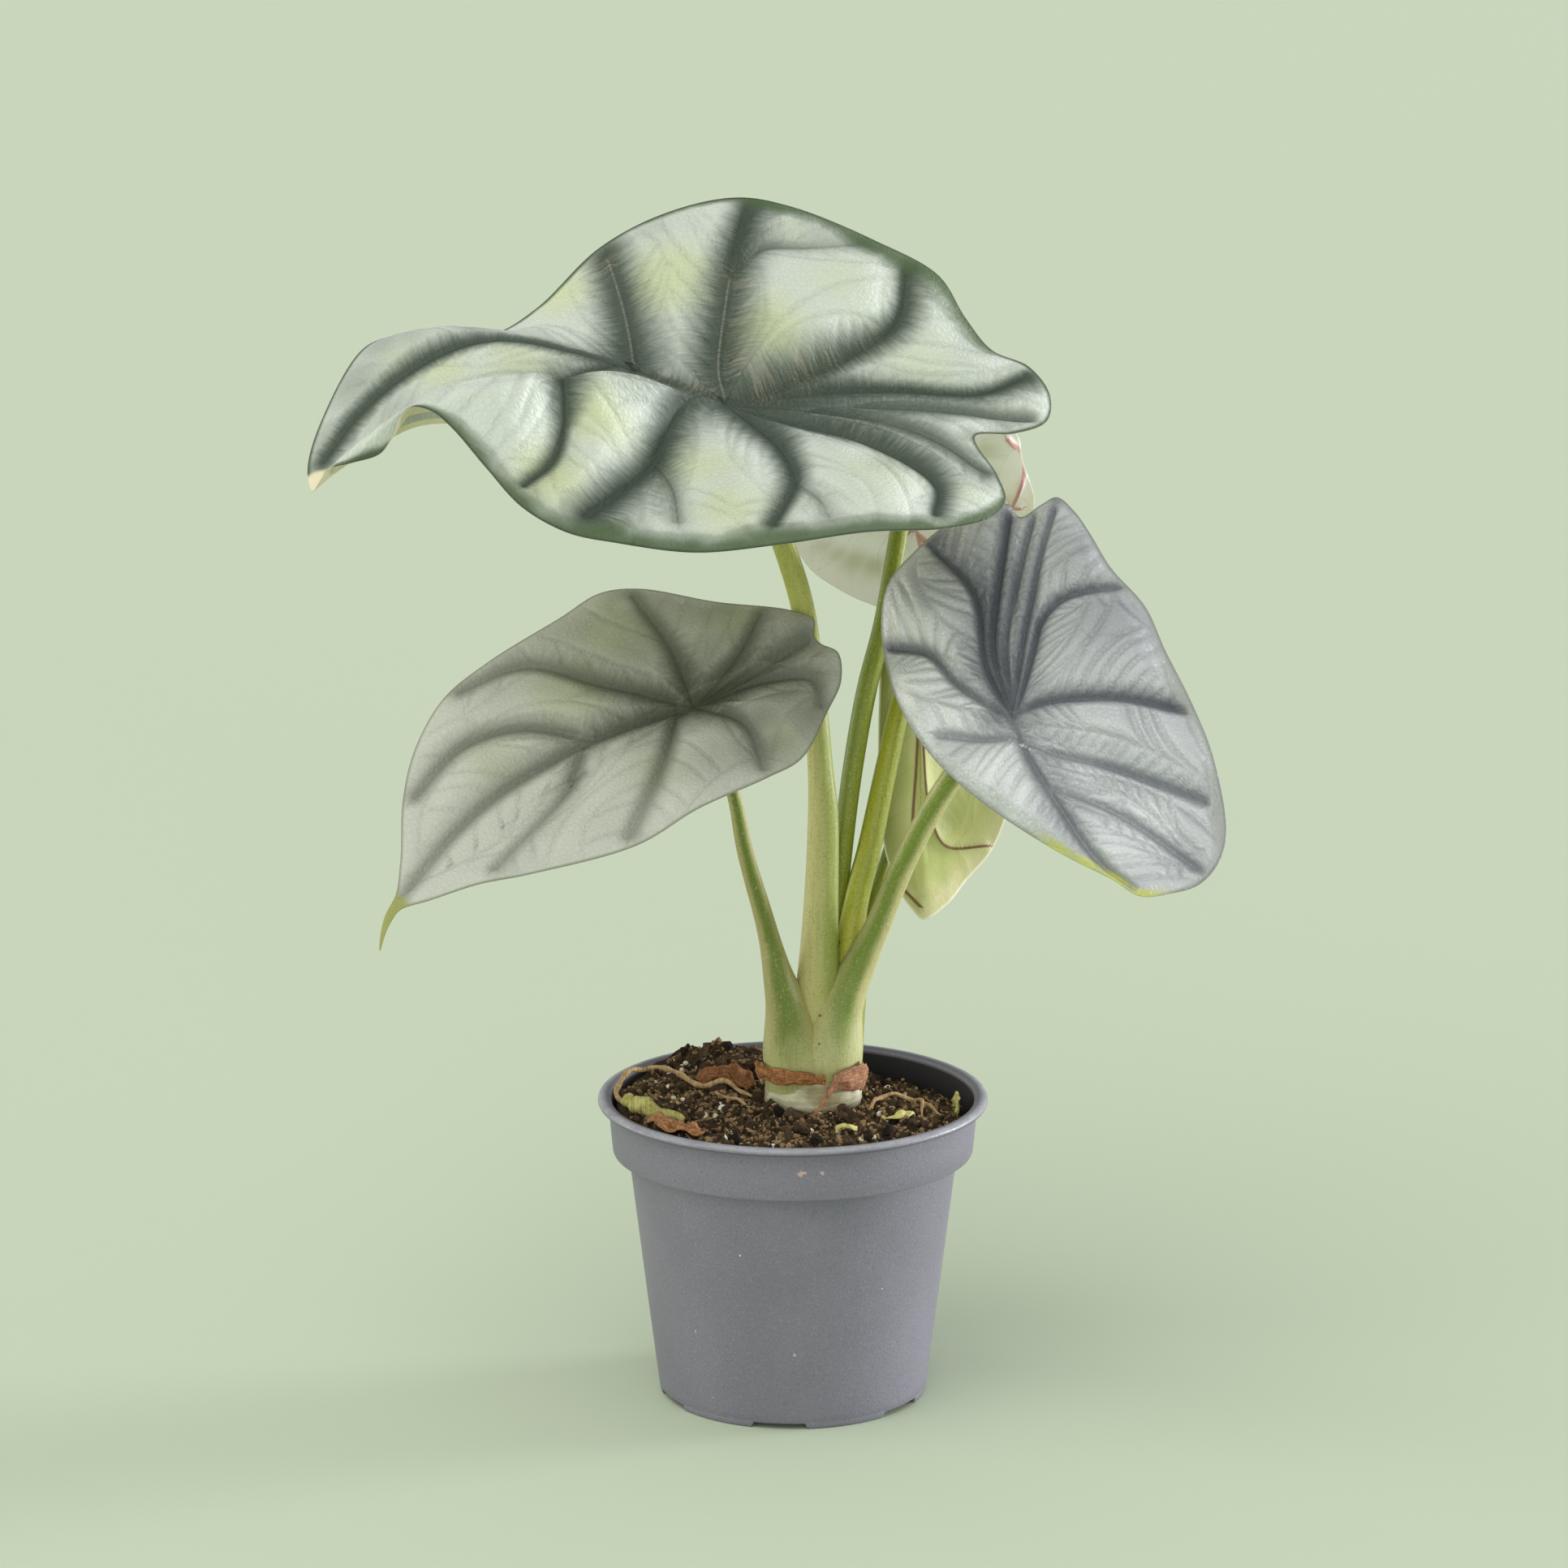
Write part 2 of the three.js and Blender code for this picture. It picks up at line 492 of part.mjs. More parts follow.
/** The pot before its drain notches are cut */
function potBody() {
  const lipInner = BAND_TOP_RADIUS - WALL;
  const outline = [
    [0, 0], [CENTRE_PAD_RADIUS, 0], [CENTRE_PAD_RADIUS + 1, FLOOR_TOP - WALL],
    [FOOT_RADIUS - 3, FLOOR_TOP - WALL], [FOOT_RADIUS - 2.6, 0], [FOOT_RADIUS - 0.9, 0],
    [FOOT_RADIUS - 0.2, 0.6], [FOOT_RADIUS, FOOT_RING_HEIGHT], [BODY_TOP_RADIUS, BAND_FOOT_HEIGHT],
    [BAND_FOOT_RADIUS, BAND_FOOT_HEIGHT], [BAND_TOP_RADIUS, POT_HEIGHT - LIP_HEIGHT - 0.3],
    [BAND_TOP_RADIUS + 0.5, POT_HEIGHT - LIP_HEIGHT], [LIP_RADIUS - 0.5, POT_HEIGHT - LIP_HEIGHT],
    [LIP_RADIUS, POT_HEIGHT - LIP_HEIGHT + 0.6], [LIP_RADIUS - 0.15, POT_HEIGHT - 0.5],
    [LIP_RADIUS - 0.8, POT_HEIGHT], [lipInner + 1.4, POT_HEIGHT], [lipInner + 0.4, POT_HEIGHT - 0.6],
    [lipInner, POT_HEIGHT - 1.8], [BAND_FOOT_RADIUS - WALL, BAND_FOOT_HEIGHT + WALL],
    [BODY_TOP_RADIUS - WALL, BAND_FOOT_HEIGHT + WALL], [FOOT_RADIUS - WALL, FLOOR_TOP + 0.5],
    [FOOT_RADIUS - WALL - 0.8, FLOOR_TOP], [0, FLOOR_TOP],
  ];
  const lathe = new THREE.LatheGeometry(outline.map(([r, z]) => new THREE.Vector2(r, z)), POT_SIDES);
  lathe.rotateX(Math.PI / 2);
  return toSolid(lathe);
}

/** A wedge under the foot ring and a slot through the floor, for one drain */
function drainCutter(angle) {
  const half = NOTCH_WIDTH / 2;
  const wedge = new THREE.Shape([
    new THREE.Vector2(-half - 1, -1), new THREE.Vector2(half + 1, -1),
    new THREE.Vector2(half, NOTCH_HEIGHT), new THREE.Vector2(-half, NOTCH_HEIGHT),
  ]);
  const notch = new THREE.ExtrudeGeometry(wedge, { depth: 7, bevelEnabled: false });
  notch.rotateX(Math.PI / 2);
  notch.rotateZ(Math.PI / 2);
  notch.translate(FOOT_RADIUS - 5, 0, 0);
  notch.rotateZ(angle);
  const slot = new THREE.BoxGeometry(5, NOTCH_WIDTH * 0.6, 4 * FLOOR_TOP);
  slot.translate(FOOT_RADIUS - 6.5, 0, FLOOR_TOP);
  slot.rotateZ(angle);
  return toSolid(notch).add(toSolid(slot));
}

/** The pot: a thin moulded shell with a banded rim, a foot ring and six drains */
function pot() {
  let solid = potBody();
  for (let i = 0; i < NOTCHES; i += 1) {
    const angle = THREE.MathUtils.degToRad(FIRST_NOTCH_DEGREES + (360 / NOTCHES) * i);
    solid = solid.subtract(drainCutter(angle));
  }
  return solid;
}

/** The soil block, which fills the pot and has a lumpy top */
function soilBlock() {
  const gap = WALL + CLEARANCE;
  const wall = [
    [FOOT_RADIUS - gap - 1.2, FLOOR_TOP + CLEARANCE],
    [BODY_TOP_RADIUS - gap - 0.2, BAND_FOOT_HEIGHT + gap],
    [BAND_FOOT_RADIUS - gap - 0.2, BAND_FOOT_HEIGHT + gap + 0.6],
  ];
  const rows = [];
  const ringOf = (radius, height) => {
    const row = [];
    for (let side = 0; side < POT_SIDES; side += 1) {
      const angle = (2 * Math.PI * side) / POT_SIDES;
      const x = radius * Math.cos(angle);
      const y = radius * Math.sin(angle);
      row.push(new THREE.Vector3(x, y, height ?? soilTop(x, y)));
    }
    return row;
  };
  wall.forEach(([radius, height]) => rows.push(ringOf(radius, height)));
  SOIL_RING_RADII.forEach((radius) => rows.push(ringOf(radius)));
  return toSolid(skin(rows));
}

/** The corm: a squat tuber with main roots running down and out into the soil */
function corm(grow) {
  const profile = [];
  for (let i = 0; i <= CORM_STEPS; i += 1) {
    const at = i / CORM_STEPS;
    const tip = i === 0 || i === CORM_STEPS;
    const z = THREE.MathUtils.lerp(CORM_BOTTOM - grow, CORM_TOP + grow, at);
    const belly = Math.sin(Math.PI * at ** 1.55) ** 0.62;
    profile.push(new THREE.Vector2(tip ? 0 : (CORM_RADIUS + grow) * belly, z));
  }
  const lathe = new THREE.LatheGeometry(profile, CORM_SIDES);
  lathe.rotateX(Math.PI / 2);
  lathe.translate(CORM_CENTRE.x, CORM_CENTRE.y, 0);
  let solid = toSolid(lathe);
  for (let i = 0; i < ROOT_COUNT; i += 1) {
    const angle = (2 * Math.PI * (i + 0.3 * Math.sin(3 * i))) / ROOT_COUNT;
    const sideways = new THREE.Vector3(-Math.sin(angle), Math.cos(angle), 0);
    const reach = ROOT_REACH + 3 * Math.cos(5 * i);
    const stops = [0.2, 0.5, 0.8, 1].map((at) => [
      CORM_CENTRE.x * (1 - at) + reach * at * Math.cos(angle),
      CORM_CENTRE.y * (1 - at) + reach * at * Math.sin(angle),
      ROOT_START_HEIGHT - ROOT_DROP * at ** 1.6,
      ROOT_RADIUS * (1.2 - 0.6 * at),
      ROOT_RADIUS * (1.2 - 0.6 * at),
    ]);
    solid = solid.add(toSolid(tube(stops, 5, 4, sideways, grow)));
  }
  return solid;
}

const group = new THREE.Group();

/** Add one named piece with its own material */
function addPiece(name, solid, colour, roughness) {
  const material = new THREE.MeshStandardMaterial({ color: colour, roughness, metalness: 0 });
  const mesh = new THREE.Mesh(toGeometry(solid), material);
  mesh.name = name;
  group.add(mesh);
}

const FORWARD = new THREE.Vector3(0, 1, 0);
const UPWARD = new THREE.Vector3(0, 0, 1);

addPiece('pot', pot(), POT_GREY, PLASTIC_ROUGHNESS);
addPiece('corm', corm(0), CORM_GREY, CORM_ROUGHNESS);

for (const [name, leaf] of Object.entries(LEAVES)) {
  addPiece(`blade_${name}`, toSolid(blade(leaf, -BLADE_THICKNESS, 0)), leaf.colour, FRESH_ROUGHNESS);
}

// The stalks, each trimmed by the corm, by the stalks that it wraps round and by its own blade
let taken = corm(CLEARANCE);
for (const [name, stalk] of Object.entries(STALKS)) {
  let solid = toSolid(tube(stalk.stops, STEM_SIDES, stalk.steps, FORWARD)).subtract(taken);
  if (LEAVES[name]) {
    const hubCut = blade(LEAVES[name], -BLADE_THICKNESS - CLEARANCE, HUB_CUT_HEIGHT, HUB_CUT_RINGS);
    solid = solid.subtract(toSolid(hubCut));
  }
  taken = taken.add(toSolid(tube(stalk.stops, STEM_SIDES, stalk.steps, FORWARD, CLEARANCE)));
  addPiece(LEAVES[name] ? `stalk_${name}` : 'young_shoot', solid, stalk.colour, FRESH_ROUGHNESS);
}

for (const [name, sheath] of Object.entries(OLD_SHEATHS)) {
  const solid = toSolid(tube(sheath.stops, SCRAP_SIDES, SHEATH_STEPS, UPWARD)).subtract(taken);
  taken = taken.add(toSolid(tube(sheath.stops, SCRAP_SIDES, SHEATH_STEPS, UPWARD, CLEARANCE)));
  addPiece(name, solid, sheath.colour, DRY_ROUGHNESS);
}

// Litter lies in grooves that its own shape presses into the soil
let soil = soilBlock().subtract(taken);
for (const [name, piece] of Object.entries(LITTER)) {
  const stops = piece.stops.map(([x, y, z, w, d]) => [x, y, z + soilTop(x, y), w, d]);
  const steps = 2 * stops.length;
  soil = soil.subtract(toSolid(tube(stops, SCRAP_SIDES, steps, UPWARD, CLEARANCE)));
  addPiece(name, toSolid(tube(stops, SCRAP_SIDES, steps, UPWARD)), piece.colour, DRY_ROUGHNESS);
}
addPiece('soil', soil, SOIL_BROWN, SOIL_ROUGHNESS);

export default group;
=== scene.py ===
"""The looks of a potted silver dragon alocasia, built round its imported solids.

The scene is in metres with +Z up and the pictured front towards -Y. Each leaf is drawn on a plane
through its hub, and its own numbers, like every length that is called something_mm, are in
millimetres.
"""

import logging
import math
from collections.abc import Mapping, Sequence
from dataclasses import dataclass, field
from enum import Enum

import bpy
import numpy as np
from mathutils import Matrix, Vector
from mathutils.kdtree import KDTree


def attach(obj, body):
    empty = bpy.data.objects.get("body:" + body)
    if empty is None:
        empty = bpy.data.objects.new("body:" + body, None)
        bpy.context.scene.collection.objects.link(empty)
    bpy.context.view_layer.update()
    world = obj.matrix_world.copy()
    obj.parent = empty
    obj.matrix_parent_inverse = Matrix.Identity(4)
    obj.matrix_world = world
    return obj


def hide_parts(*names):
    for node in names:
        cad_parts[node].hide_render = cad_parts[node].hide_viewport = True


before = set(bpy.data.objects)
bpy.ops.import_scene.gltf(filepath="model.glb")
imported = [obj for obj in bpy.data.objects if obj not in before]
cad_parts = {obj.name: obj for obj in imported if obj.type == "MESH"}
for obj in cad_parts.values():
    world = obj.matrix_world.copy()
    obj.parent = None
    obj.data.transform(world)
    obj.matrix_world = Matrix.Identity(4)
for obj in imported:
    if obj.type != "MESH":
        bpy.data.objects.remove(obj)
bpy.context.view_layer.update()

MM = 0.001
LOG = logging.getLogger("alocasia")

Point = tuple[float, ...]
Colour = tuple[float, float, float]


# ---------------------------------------------------------------- small maths


def linear(colour: Colour) -> tuple[float, float, float, float]:
    """A screen colour, 0 to 255, as the linear colour that a shader takes."""
    parts = [c / 255 for c in colour]
    return (*[p / 12.92 if p <= 0.04045 else ((p + 0.055) / 1.055) ** 2.4 for p in parts], 1.0)


def smooth(value: np.ndarray, low: float, high: float) -> np.ndarray:
    """A smooth step from 0 at low to 1 at high."""
    at = np.clip((value - low) / (high - low), 0, 1)
    return at * at * (3 - 2 * at)


def bell(gap: np.ndarray, wide: float) -> np.ndarray:
    """1 where the gap is 0, and soon next to nothing beyond `wide`."""
    return np.exp(-((gap / wide) ** 2))


def spline(points: Sequence[Point], per: int, closed: bool) -> np.ndarray:
    """A centripetal Catmull-Rom curve.

    Args:
        points: The marks that the curve passes. Only their first three numbers set its pace.
        per: How many samples each span between two marks gets.
        closed: True for a loop.

    Returns:
        The samples, one row each. An open curve also holds its last mark.
    """
    marks = np.asarray(points, float)
    count = len(marks)
    rows = []
    for i in range(count if closed else count - 1):
        if closed:
            four = [marks[(i + j - 1) % count] for j in range(4)]
        else:
            ahead = marks[i + 2] if i + 2 < count else 2 * marks[i + 1] - marks[i]
            behind = marks[i - 1] if i else 2 * marks[0] - marks[1]
            four = [behind, marks[i], marks[i + 1], ahead]
        knots = [0.0]
        for a, b in zip(four, four[1:]):
            knots.append(knots[-1] + max(np.linalg.norm((b - a)[:3]), 1e-6) ** 0.5)
        t = np.linspace(knots[1], knots[2], per, endpoint=False)[:, None]

        def between(a: np.ndarray, b: np.ndarray, start: float, end: float) -> np.ndarray:
            """The samples of a straight line that is at a at start and at b at end."""
            return a + (b - a) * (t - start) / (end - start)

        first = [between(four[j], four[j + 1], knots[j], knots[j + 1]) for j in range(3)]
        second = [between(first[j], first[j + 1], knots[j], knots[j + 2]) for j in range(2)]
        rows.append(between(second[0], second[1], knots[1], knots[2]))
    if not closed:
        rows.append(marks[-1:])
    return np.concatenate(rows)


def evenly(curve: np.ndarray, step: float) -> tuple[np.ndarray, np.ndarray]:
    """A curve at even steps.

    Args:
        curve: Points in rows.
        step: The length of a step, in the curve's own unit.

    Returns:
        The points at those steps, and how far along the curve each one is.
    """
    lengths = np.linalg.norm(np.diff(curve[:, :3], axis=0), axis=1)
    run = np.concatenate([[0], np.cumsum(lengths)])
    at = np.linspace(0, run[-1], max(2, int(run[-1] / step) + 1))
    return np.stack([np.interp(at, run, column) for column in curve.T], 1), at


def wobble(points: np.ndarray, size: float, seed: int) -> np.ndarray:
    """Soft seeded noise in [-1, 1] at points, with features about `size` across."""
    rng = np.random.default_rng(seed)
    total = np.zeros(len(points))
    waves = 10
    for _ in range(waves):
        direction = rng.normal(size=points.shape[1])
        direction *= rng.uniform(0.7, 1.4) * math.pi / size / np.linalg.norm(direction)
        total += np.sin(points @ direction + rng.uniform(0, 2 * math.pi))
    return np.clip(total / math.sqrt(waves) / 1.2, -1, 1)


# ---------------------------------------------------------------- meshes


def add_object(name: str, data: bpy.types.ID) -> bpy.types.Object:
    """Put a new object that shows the data into the scene."""
    made = bpy.data.objects.new(name, data)
    bpy.context.scene.collection.objects.link(made)
    return made


def add_values(mesh: bpy.types.Mesh, name: str, values: np.ndarray) -> None:
    """Give a mesh's points an attribute: one number each, or three."""
    kind, key = ("FLOAT", "value") if values.ndim == 1 else ("FLOAT_VECTOR", "vector")
    mesh.attributes.new(name, kind, "POINT").data.foreach_set(key, values.astype(np.float32).ravel())


def mesh_values(mesh: bpy.types.Mesh, name: str) -> np.ndarray:
    """One of a mesh's number attributes. The vertices themselves are the attribute `position`."""
    target, key, wide = mesh.attributes[name], "value", 1
    if target.data_type == "FLOAT_VECTOR":
        key, wide = "vector", 3
    flat = np.zeros(len(mesh.vertices) * wide, np.float32)
    target.data.foreach_get(key, flat)
    return flat.astype(float).reshape((-1, 3) if wide == 3 else -1)


def new_mesh(
    name: str, points: np.ndarray, faces: np.ndarray, values: Mapping[str, np.ndarray]
) -> bpy.types.Object:
    """A smooth-shaded object from arrays.

    Args:
        name: The object's name.
        points: Vertices in metres.
        faces: Rows of four vertex numbers, with -1 last in a triangle's row.
        values: Attributes on the points: one number each, or three.

    Returns:
        The object, linked to the scene.
    """
    mesh = bpy.data.meshes.new(name)
    used = faces >= 0
    sizes = used.sum(1)
    mesh.vertices.add(len(points))
    mesh.vertices.foreach_set("co", points.astype(np.float32).ravel())
    mesh.loops.add(int(sizes.sum()))
    mesh.loops.foreach_set("vertex_index", faces[used].astype(np.int32))
    mesh.polygons.add(len(faces))
    mesh.polygons.foreach_set("loop_start", np.concatenate([[0], np.cumsum(sizes)[:-1]]).astype(np.int32))
    mesh.polygons.foreach_set("use_smooth", np.ones(len(faces), bool))
    mesh.update(calc_edges=True)
    for key, value in values.items():
        add_values(mesh, key, value)
    mesh.validate()
    return add_object(name, mesh)


def lathed(radii: Sequence[float], heights: Sequence[float], around: int) -> np.ndarray:
    """Rings of points round the Z axis.

    Args:
        radii: Each ring's radius.
        heights: Each ring's height, or the height of each of its points.
        around: How many points a ring has.

    Returns:
        The points, as an array of rings by sides by three.
    """
    turn = np.linspace(0, 2 * math.pi, around, endpoint=False)
    wide = np.asarray(radii, float)[:, None]
    level = np.broadcast_to(np.reshape(heights, (len(wide), -1)), (len(wide), around))
    return np.stack([wide * np.cos(turn), wide * np.sin(turn), level], 2)


def ring_quads(rows: int, around: int) -> np.ndarray:
    """The faces between `rows` rings of `around` points, ring by ring."""
    ring, side = np.meshgrid(np.arange(rows - 1), np.arange(around), indexing="ij")
    a = ring * around + side
    b = ring * around + (side + 1) % around
    return np.stack([a, b, b + around, a + around], -1).reshape(-1, 4)


def shell_faces(rows: int, around: int) -> np.ndarray:
    """The faces of a closed skin: `rows` rings of `around` points, then a point to close each end."""
    side = np.arange(around)
    ahead = (side + 1) % around
    last = (rows - 1) * around
    none = np.full(around, -1)
    first_cap = np.stack([np.full(around, rows * around), ahead, side, none], 1)
    last_cap = np.stack([np.full(around, rows * around + 1), last + side, last + ahead, none], 1)
    return np.concatenate([ring_quads(rows, around), first_cap, last_cap])


def outwards(points: np.ndarray, faces: np.ndarray) -> np.ndarray:
    """The faces, turned over if the closed mesh was inside out."""
    a, b, c = (points[faces[:, k]] for k in range(3))
    volume = np.einsum("ij,ij->i", a, np.cross(b, c)).sum()
    quad = faces[:, 3] >= 0
    d = points[faces[quad, 3]]
    volume += np.einsum("ij,ij->i", a[quad], np.cross(c[quad], d)).sum()
    if volume >= 0:
        return faces
    turned = faces.copy()
    turned[:, 0], turned[:, 2] = faces[:, 2], faces[:, 0]
    turned[quad] = faces[quad][:, ::-1]
    return turned


def skin(name: str, rows: np.ndarray, values: Mapping[str, np.ndarray]) -> bpy.types.Object:
    """A closed object between rings of points.

    Args:
        name: The object's name.
        rows: Points as an array of rings by sides by three, in metres.
        values: Attributes as arrays of rings by sides.

    Returns:
        The object.
    """
    count, around = rows.shape[:2]
    ends = np.stack([rows[0].mean(0), rows[-1].mean(0)])
    points = np.concatenate([rows.reshape(-1, 3), ends])
    spread = {}
    for key, value in values.items():
        flat = value.reshape(count * around, *value.shape[2:])
        spread[key] = np.concatenate([flat, value[0].mean(0)[None], value[-1].mean(0)[None]])
    return new_mesh(name, points, outwards(points, shell_faces(count, around)), spread)


def settle(piece: bpy.types.Object, node: str | None = None) -> None:
    """Tie a finished piece to the plant's one body, and hide the solid that it stands for."""
    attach(piece, "root")
    if node:
        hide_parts(node)
    LOG.info("%s: %d faces", piece.name, len(piece.data.polygons))


# ---------------------------------------------------------------- shaders


@dataclass(frozen=True)
class Value:
    """A shader socket that takes part in Python sums."""

    shader: "Shader"
    socket: bpy.types.NodeSocket

    def _sum(self, operation: str, *parts: "Value | float") -> "Value":
        """One Math node on the parts."""
        node = self.shader.node("ShaderNodeMath", {"operation": operation}, dict(enumerate(parts)))
        return Value(self.shader, node.outputs[0])

    def __add__(self, other: "Value | float") -> "Value":
        """self + other."""
        return self._sum("ADD", self, other)

    __radd__ = __add__

    def __sub__(self, other: "Value | float") -> "Value":
        """self - other."""
        return self._sum("SUBTRACT", self, other)

    def __rsub__(self, other: float) -> "Value":
        """other - self."""
        return self._sum("SUBTRACT", other, self)

    def __mul__(self, other: "Value | float") -> "Value":
        """self * other."""
        return self._sum("MULTIPLY", self, other)

    __rmul__ = __mul__

    def __truediv__(self, other: "Value | float") -> "Value":
        """self / other."""
        return self._sum("DIVIDE", self, other)

    def size(self) -> "Value":
        """The value without its sign."""
        return self._sum("ABSOLUTE", self)

    def most(self, other: "Value | float") -> "Value":
        """The larger of the two."""
        return self._sum("MAXIMUM", self, other)

    def step(self, low: float, high: float) -> "Value":
        """A smooth step from 0 at low to 1 at high, which may be the smaller number."""
        down = low > high
        node = self.shader.node(
            "ShaderNodeMapRange",
            {"interpolation_type": "SMOOTHSTEP"},
            {
                "Value": self,
                "From Min": high if down else low,
                "From Max": low if down else high,
                "To Min": 1.0 if down else 0.0,
                "To Max": 0.0 if down else 1.0,
            },
        )
        return Value(self.shader, node.outputs[0])


class NodeMaker:
    """A node tree that is built in code, with every node from one method."""

    def __init__(self, tree: bpy.types.NodeTree) -> None:
        """Take up the tree, emptied."""
        self.tree = tree
        tree.nodes.clear()

    def node(
        self, kind: str, settings: Mapping[str, object], sockets: Mapping[object, object]
    ) -> bpy.types.Node:
        """Add a node.

        Args:
            kind: The node's type.
            settings: Its own settings, set first.
            sockets: Values or links for its inputs, by name or number.

        Returns:
            The node.
        """
        made = self.tree.nodes.new(kind)
        for key, value in settings.items():
            setattr(made, key, value)
        for key, value in sockets.items():
            source = value.socket if isinstance(value, Value) else value
            if isinstance(source, bpy.types.NodeSocket):
                self.tree.links.new(source, made.inputs[key])
            else:
                made.inputs[key].default_value = source
        return made


class Shader(NodeMaker):
    """One procedural material, from its first texture to its principled shader."""

    def __init__(self, name: str) -> None:
        """Start an empty material.

        Args:
            name: The material's name.
        """
        self.material = bpy.data.materials.new(name)
        self.material.use_nodes = True
        super().__init__(self.material.node_tree)

    def attribute(self, name: str, vector: bool = False) -> Value:
        """A value, or a vector, that the mesh carries."""
        node = self.node("ShaderNodeAttribute", {"attribute_name": name}, {})
        return Value(self, node.outputs["Vector" if vector else "Fac"])

    def place(self) -> Value:
        """Object coordinates, in metres."""
        return Value(self, self.node("ShaderNodeTexCoord", {}, {}).outputs["Object"])

    def stretched(self, vector: Value, scale: Point) -> Value:
        """A vector with each part scaled."""
        node = self.node("ShaderNodeMapping", {}, {"Vector": vector, "Scale": scale})
        return Value(self, node.outputs[0])

    def joined(self, x: "Value | float", y: "Value | float", z: "Value | float" = 0.0) -> Value:
        """A vector from three values."""
        return Value(self, self.node("ShaderNodeCombineXYZ", {}, {0: x, 1: y, 2: z}).outputs[0])

    def noise(self, vector: Value, scale: float, detail: float = 2.0, rough: float = 0.5) -> Value:
        """Noise from 0 to 1, `scale` features to a unit of the vector."""
        node = self.node(
            "ShaderNodeTexNoise", {}, {"Vector": vector, "Scale": scale, "Detail": detail, "Roughness": rough}
        )
        return Value(self, node.outputs[0])

    def cells(self, vector: Value, scale: float, feature: str = "DISTANCE_TO_EDGE") -> Value:
        """Voronoi cells: the distance to their edge, or to their middle."""
        node = self.node("ShaderNodeTexVoronoi", {"feature": feature}, {"Vector": vector, "Scale": scale})
        return Value(self, node.outputs["Distance"])

    def spot(self, vector: Value, middle: Point, radius: float) -> Value:
        """1 in the middle of a small spot, fading to 0 at its radius."""
        node = self.node("ShaderNodeVectorMath", {"operation": "DISTANCE"}, {0: vector, 1: middle})
        return Value(self, node.outputs["Value"]).step(radius, radius * 0.4)

    def mixed(self, first: object, second: object, share: "Value | float") -> Value:
        """The first colour, with a share of the second over it."""
        below, above = (linear(c) if isinstance(c, tuple) else c for c in (first, second))
        sockets = {0: share, 6: below, 7: above}
        node = self.node("ShaderNodeMix", {"data_type": "RGBA", "clamp_factor": True}, sockets)
        return Value(self, node.outputs[2])

    def coated(self, base: object, *coats: tuple[object, "Value | float"]) -> Value:
        """A colour under coats of others, each given with the share of it that covers."""
        for paint, share in coats:
            base = self.mixed(base, paint, share)
        return base

    def raised(self, height: Value, depth: float) -> Value:
        """A bump, `depth` metres where the height is 1."""
        sockets = {"Strength": 1.0, "Distance": depth, "Height": height}
        return Value(self, self.node("ShaderNodeBump", {}, sockets).outputs[0])

    def done(
        self,
        colour: object,
        roughness: "Value | float",
        normal: "Value | None" = None,
        fixed: Mapping[str, object] | None = None,
    ) -> bpy.types.Material:
        """Close the material.

        Args:
            colour: Its base colour.
            roughness: Its roughness.
            normal: Its bumps.
            fixed: Numbers for other sockets of the shader, the same all over.

        Returns:
            The material.
        """
        paint = linear(colour) if isinstance(colour, tuple) else colour
        sockets = {"Base Color": paint, "Roughness": roughness}
        if normal is not None:
            sockets["Normal"] = normal
        shader = self.node("ShaderNodeBsdfPrincipled", {}, {**sockets, **(fixed or {})})
        self.node("ShaderNodeOutputMaterial", {}, {"Surface": shader.outputs[0]})
        return self.material


